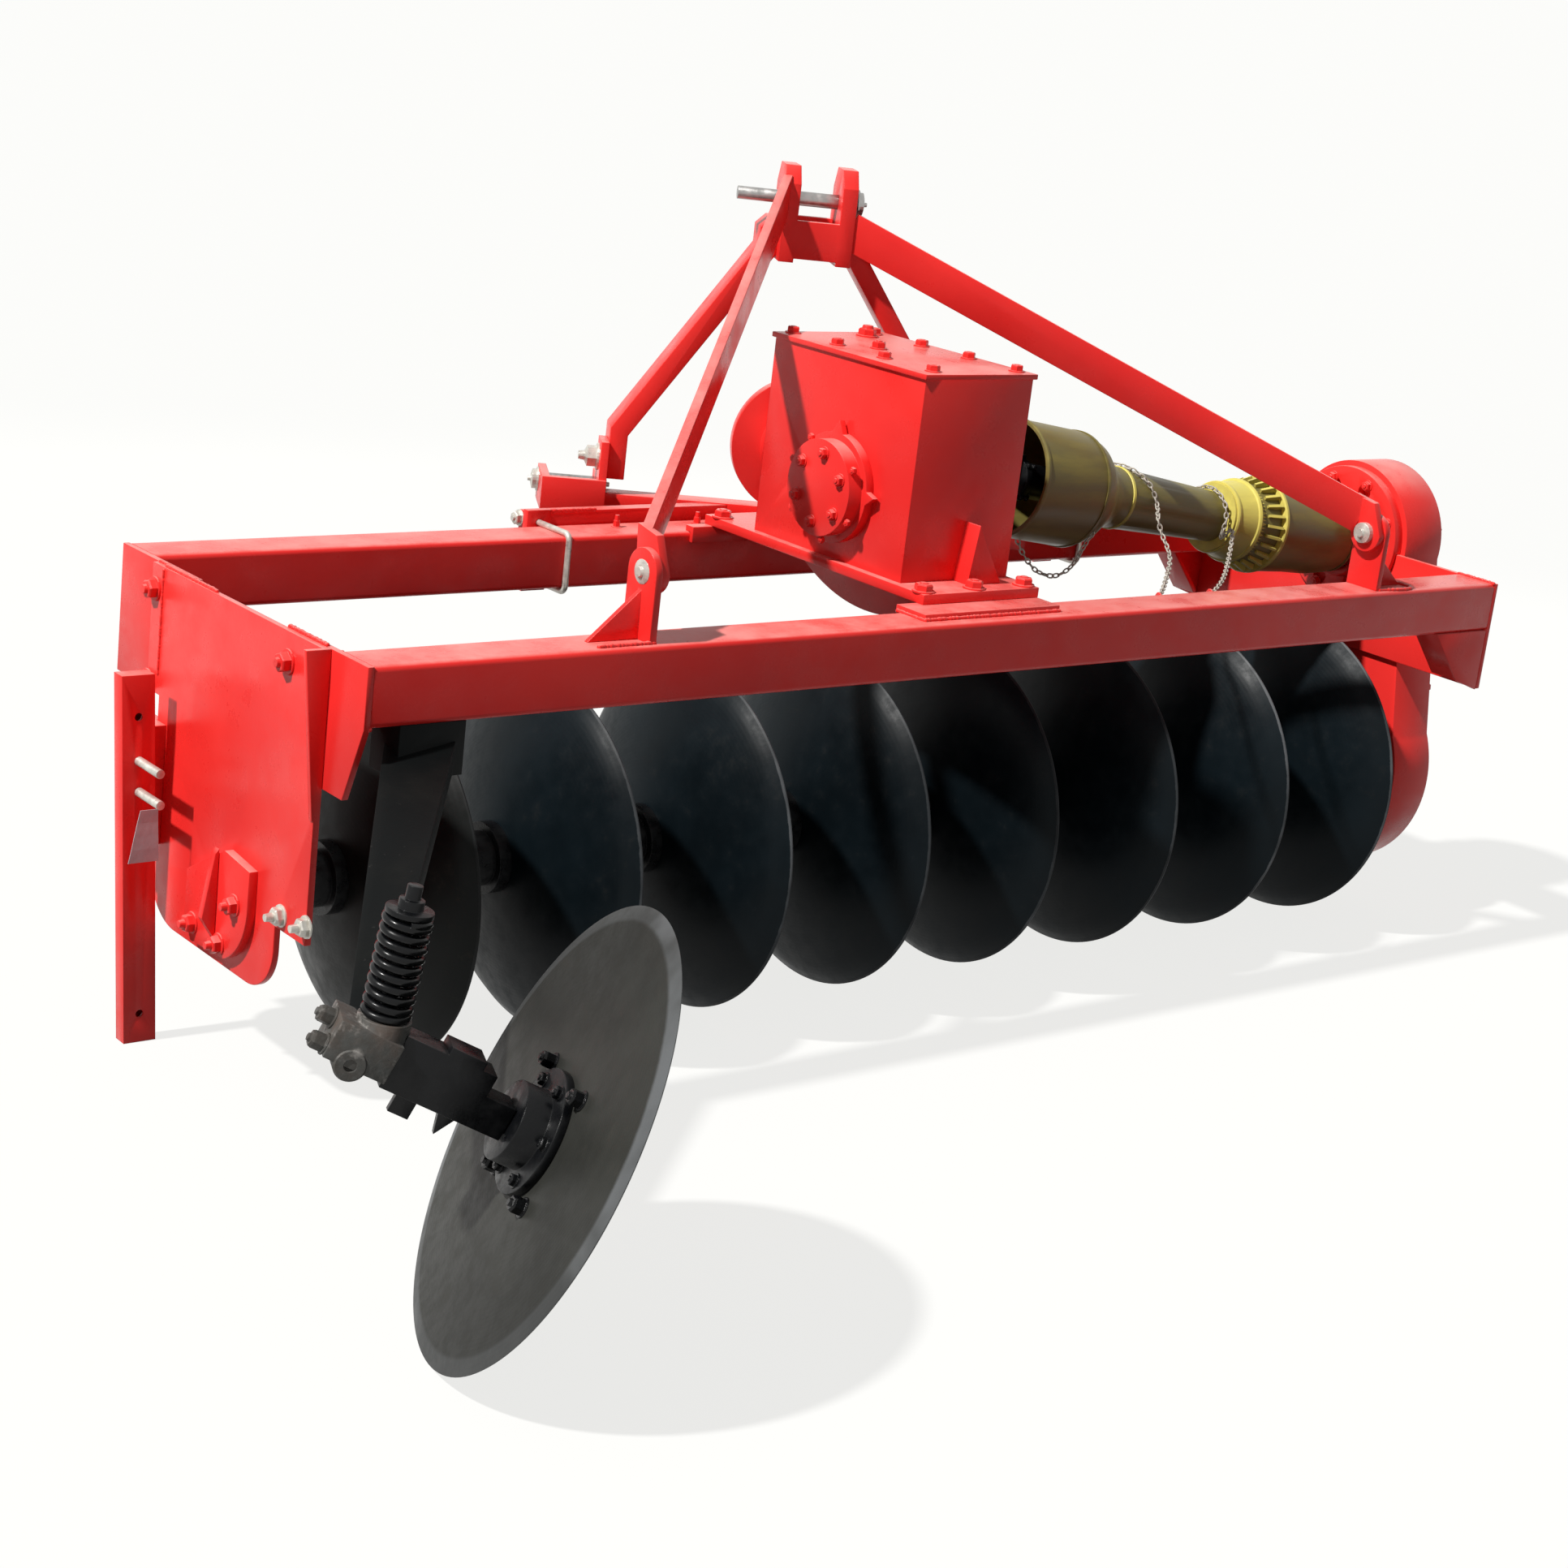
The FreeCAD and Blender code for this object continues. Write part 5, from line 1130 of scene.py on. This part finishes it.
def build_rear_disc():
    """The rear furrow disc, its hub and axle, the yoke and the arm."""
    finished("tail_disc", edge=0, sharp=20)
    finish_all("tail_hub", "tail_axle")
    finished(
        "tail_yoke", "weathered_steel", "black_paint", edge=0.002,
        second=lambda place: (place - spring_at(0)).dot(SPRING_AXIS) > 0.001,
    )
    finished("tail_arm", "arm_steel", edge=0.003)
    small = small_parts().small_bolt
    outer, inner = on_circle(4, 119, 50), on_circle(6, 78, 10)
    wheel = {"finish": "spring_paint", "body": "tail_wheel", "slot": "black_paint"}
    bolts("disc_bolts", facing(
        TAIL_AXIS, *(tail_at(4, *spot) for spot in outer),
    ), small * 1.2, height=0.018, **wheel)
    bolts("hub_bolts", facing(
        TAIL_AXIS, *(tail_at(18, *spot) for spot in inner),
    ), small * 0.9, tip_height=0.002, **wheel)
    bolts("hub_nuts", facing(-TAIL_AXIS, *(tail_at(-4, *spot) for spot in outer + inner)), small, **wheel)
    bolts("yoke_bolts", facing(
        TAIL_AXIS, tail_at(345, -6, 28), tail_at(345, 20, -2),
    ), 0.026, "weathered_steel", slot="black_paint", height=0.020)
    revolved("yoke_bush", [
        (-42, 9), (-42, 21), (-39, 24), (39, 24), (42, 21), (42, 9),
    ], tail_at(305, 0, -9), TAIL_ACROSS, "weathered_steel", "black_paint", 40)


def build_spring():
    """The coil spring of the rear disc, which stands for the plain tube."""
    small = small_parts()
    outer_radius, high = 0.036, 0.150
    seat = [(spring_at(0), turned_to(SPRING_AXIS))]
    grown("rear_spring_coil", "coil", point_mesh("spring", seat), {
        "Turns": small.turns, "Radius": outer_radius - small.coil / 2, "Height": high, "Wire": small.coil,
    }, "spring_paint", "machine", "black_paint", "tail_spring")


def build_stand():
    """The parking stand with its zinc pins and its guide."""
    rear, front = at(0, 584, 0).y, at(0, 616, 0).y
    finished(
        "stand_leg", "red_paint", "zinc_steel", sharp=30,
        second=lambda place: not rear <= place.y <= front,
    )
    finished("stand_bracket")
    hang_tag()


def hang_tag():
    """The blank card that hangs from the stand's pins, wider below and bent a little."""
    bend, thick = (0, 1.5, 4, 7, 9), 1.2
    points = []
    for row, pushed in enumerate(bend):
        down = row / (len(bend) - 1)
        left, right = -107 - 22 * down, -75 + down
        rear = 507 - pushed
        for across, ahead in ((left, rear), (right, rear), (right, rear + thick), (left, rear + thick)):
            points.append(at(across, ahead, -376 - 88 * down))
    faces = [(0, 1, 2, 3), (16, 17, 18, 19), *wrapped_faces(len(bend), 4, closed=False)]
    placed("stand_blank_tag", closed_mesh("stand_tag", points, faces, "tag_card"), "stand", "zinc_steel")


# ---------------------------------------------------------------- stage

SUN_FROM = Vector((-0.64, 0.03, 0.77))
SUN_SPREAD = math.radians(2.5)
SUN_COLOUR, SKY_COLOUR = (1.0, 0.985, 0.96), (0.95, 0.97, 1.0, 1)
CAMERA_PLACE = (-2226.3, -3650.4, 1130.3)
CAMERA_TURN = (73.620, -6.482, -38.121)
CAMERA_SHIFT = (0.00176, -0.00098)
SEEN_FLOOR = (0.20, 0.193, 0.187)
FLOOR_RADIUS = 40
FLOOR_GLOW = 0.82
FADE_START, FADE_END = 2.2, 6.5


def build_stage():
    """The pale floor, the sky, the sun and the camera."""
    scene = bpy.context.scene
    stage = scene.plough_stage
    scene.view_settings.view_transform = "Standard"
    build_world(stage)
    build_floor(stage)
    sun = bpy.data.lights.new("sun", "SUN")
    sun.energy = stage.sun
    sun.angle = SUN_SPREAD
    sun.color = SUN_COLOUR
    lamp = bpy.data.objects.new("sun", sun)
    lamp.rotation_euler = SUN_FROM.to_track_quat("Z", "Y").to_euler()
    scene.collection.objects.link(lamp)
    camera = bpy.data.cameras.new("camera")
    camera.sensor_width = 36
    camera.lens = stage.lens
    camera.shift_x, camera.shift_y = CAMERA_SHIFT
    camera.clip_end = 200
    holder = bpy.data.objects.new("camera", camera)
    holder.location = at(*CAMERA_PLACE)
    holder.rotation_euler = Euler([math.radians(angle) for angle in CAMERA_TURN])
    scene.collection.objects.link(holder)
    scene.camera = holder


def seen_rays(graph):
    """One for a ray from the camera, through glass or off gloss, and nought for the others."""
    path = graph.put("ShaderNodeLightPath").outputs
    seen = graph.calc("MAXIMUM", path["Is Camera Ray"], path["Is Transmission Ray"])
    return graph.calc("MAXIMUM", seen, path["Is Glossy Ray"])


def build_world(stage):
    """An even sky, which is seen as the warm white background."""
    world = bpy.data.worlds.new("sky")
    world.use_nodes = True
    bpy.context.scene.world = world
    graph = Graph(world.node_tree)
    graph.nodes.clear()
    light, seen = (
        graph.out("ShaderNodeBackground", {"Color": colour, "Strength": strength})
        for colour, strength in ((SKY_COLOUR, stage.sky), ((*stage.background, 1), 1.0))
    )
    mixed = graph.out("ShaderNodeMixShader", {0: seen_rays(graph), 1: light, 2: seen})
    graph.put("ShaderNodeOutputWorld", {"Surface": mixed})


def build_floor(stage):
    """A wide round floor that keeps the shadow and fades into the background."""
    mesh = bpy.data.meshes.new("floor")
    ring = [(x, y, 0) for x, y in on_circle(96, FLOOR_RADIUS)]
    mesh.from_pydata(ring, [], [tuple(range(len(ring)))])
    floor = bpy.data.objects.new("floor", mesh)
    bpy.context.scene.collection.objects.link(floor)
    finish = Finish("floor", stage.floor, 0.9, specular=0.0)
    away = finish.put("ShaderNodeVectorMath", {0: finish.place}, operation="LENGTH").outputs["Value"]
    fade = finish.spread(away, FADE_START, FADE_END)
    seen = seen_rays(finish)
    finish.coat(finish.mix(seen, SEEN_FLOOR, stage.floor))
    glow = finish.out("ShaderNodeEmission", {"Color": (*stage.background, 1), "Strength": 1.0})
    amount = finish.times(finish.calc("MAXIMUM", fade, FLOOR_GLOW), seen)
    shaded = finish.nodes["Principled BSDF"].outputs[0]
    mixed = finish.out("ShaderNodeMixShader", {0: amount, 1: shaded, 2: glow})
    finish.feed(finish.nodes["Material Output"].inputs["Surface"], mixed)
    mesh.materials.append(finish.material)


# ---------------------------------------------------------------- operators

class BuildStep:
    """What every operator of the plough does: run its own builder."""

    bl_options = {"REGISTER", "UNDO"}

    def execute(self, context):
        type(self).build()
        return {"FINISHED"}


class PLOUGH_OT_stage(BuildStep, bpy.types.Operator):
    """Set up the floor, sky, sun and camera"""

    bl_idname = "plough.stage"
    bl_label = "Stage"
    build = staticmethod(build_stage)


class PLOUGH_OT_frame(BuildStep, bpy.types.Operator):
    """Finish the beams, plates and gussets"""

    bl_idname = "plough.frame"
    bl_label = "Frame"
    build = staticmethod(build_frame)


class PLOUGH_OT_left_end(BuildStep, bpy.types.Operator):
    """Finish the left bearing and its bolts"""

    bl_idname = "plough.left_end"
    bl_label = "Left end"
    build = staticmethod(build_left_end)


class PLOUGH_OT_discs(BuildStep, bpy.types.Operator):
    """Finish the driven discs"""

    bl_idname = "plough.discs"
    bl_label = "Discs"
    build = staticmethod(build_discs)


class PLOUGH_OT_gang_shaft(BuildStep, bpy.types.Operator):
    """Finish the gang's shaft and spools"""

    bl_idname = "plough.gang_shaft"
    bl_label = "Gang shaft"
    build = staticmethod(build_gang_shaft)


class PLOUGH_OT_side_drive(BuildStep, bpy.types.Operator):
    """Finish the case on the right end"""

    bl_idname = "plough.side_drive"
    bl_label = "Side drive"
    build = staticmethod(build_side_drive)


class PLOUGH_OT_gearbox(BuildStep, bpy.types.Operator):
    """Finish the gearbox and its bolts"""

    bl_idname = "plough.gearbox"
    bl_label = "Gearbox"
    build = staticmethod(build_gearbox)


class PLOUGH_OT_shafts(BuildStep, bpy.types.Operator):
    """Finish the input, stub and drive shafts"""

    bl_idname = "plough.shafts"
    bl_label = "Shafts"
    build = staticmethod(build_shafts)


class PLOUGH_OT_guards(BuildStep, bpy.types.Operator):
    """Finish the shaft guards and their chains"""

    bl_idname = "plough.guards"
    bl_label = "Guards"
    build = staticmethod(build_guards)


class PLOUGH_OT_hitch(BuildStep, bpy.types.Operator):
    """Finish the three-point hitch"""

    bl_idname = "plough.hitch"
    bl_label = "Hitch"
    build = staticmethod(build_hitch)


class PLOUGH_OT_rear_disc(BuildStep, bpy.types.Operator):
    """Finish the rear disc, its hub, axle and arm"""

    bl_idname = "plough.rear_disc"
    bl_label = "Rear disc"
    build = staticmethod(build_rear_disc)


class PLOUGH_OT_spring(BuildStep, bpy.types.Operator):
    """Wind the rear spring"""

    bl_idname = "plough.spring"
    bl_label = "Spring"
    build = staticmethod(build_spring)


class PLOUGH_OT_stand(BuildStep, bpy.types.Operator):
    """Finish the parking stand"""

    bl_idname = "plough.stand"
    bl_label = "Stand"
    build = staticmethod(build_stand)


STEPS = (
    PLOUGH_OT_stage, PLOUGH_OT_frame, PLOUGH_OT_left_end, PLOUGH_OT_discs, PLOUGH_OT_gang_shaft,
    PLOUGH_OT_side_drive, PLOUGH_OT_gearbox, PLOUGH_OT_shafts, PLOUGH_OT_guards, PLOUGH_OT_hitch,
    PLOUGH_OT_rear_disc, PLOUGH_OT_spring, PLOUGH_OT_stand,
)


class PLOUGH_PT_panel(bpy.types.Panel):
    """Lists the plough's settings and operators"""

    bl_label = "Disc plough"
    bl_idname = "PLOUGH_PT_panel"
    bl_space_type = "VIEW_3D"
    bl_region_type = "UI"
    bl_category = "Disc plough"

    def draw(self, context):
        layout = self.layout
        for step in STEPS:
            layout.operator(step.bl_idname)
        for group in (
            context.scene.plough_paint, context.scene.plough_small_parts, context.scene.plough_stage,
        ):
            box = layout.box()
            for name in group.__annotations__:
                box.prop(group, name)


CLASSES = (PaintSettings, SmallPartSettings, StageSettings, *STEPS, PLOUGH_PT_panel)


def register():
    """Adds the classes and the scene's settings."""
    for item in CLASSES:
        bpy.utils.register_class(item)
    bpy.types.Scene.plough_paint = PointerProperty(type=PaintSettings)
    bpy.types.Scene.plough_small_parts = PointerProperty(type=SmallPartSettings)
    bpy.types.Scene.plough_stage = PointerProperty(type=StageSettings)


def unregister():
    """Takes the classes and the scene's settings away."""
    del bpy.types.Scene.plough_stage
    del bpy.types.Scene.plough_small_parts
    del bpy.types.Scene.plough_paint
    for item in reversed(CLASSES):
        bpy.utils.unregister_class(item)


def main():
    """Builds everything."""
    register()
    for step in STEPS:
        group, name = step.bl_idname.split(".")
        getattr(getattr(bpy.ops, group), name)()


if __name__ == "__main__":
    main()
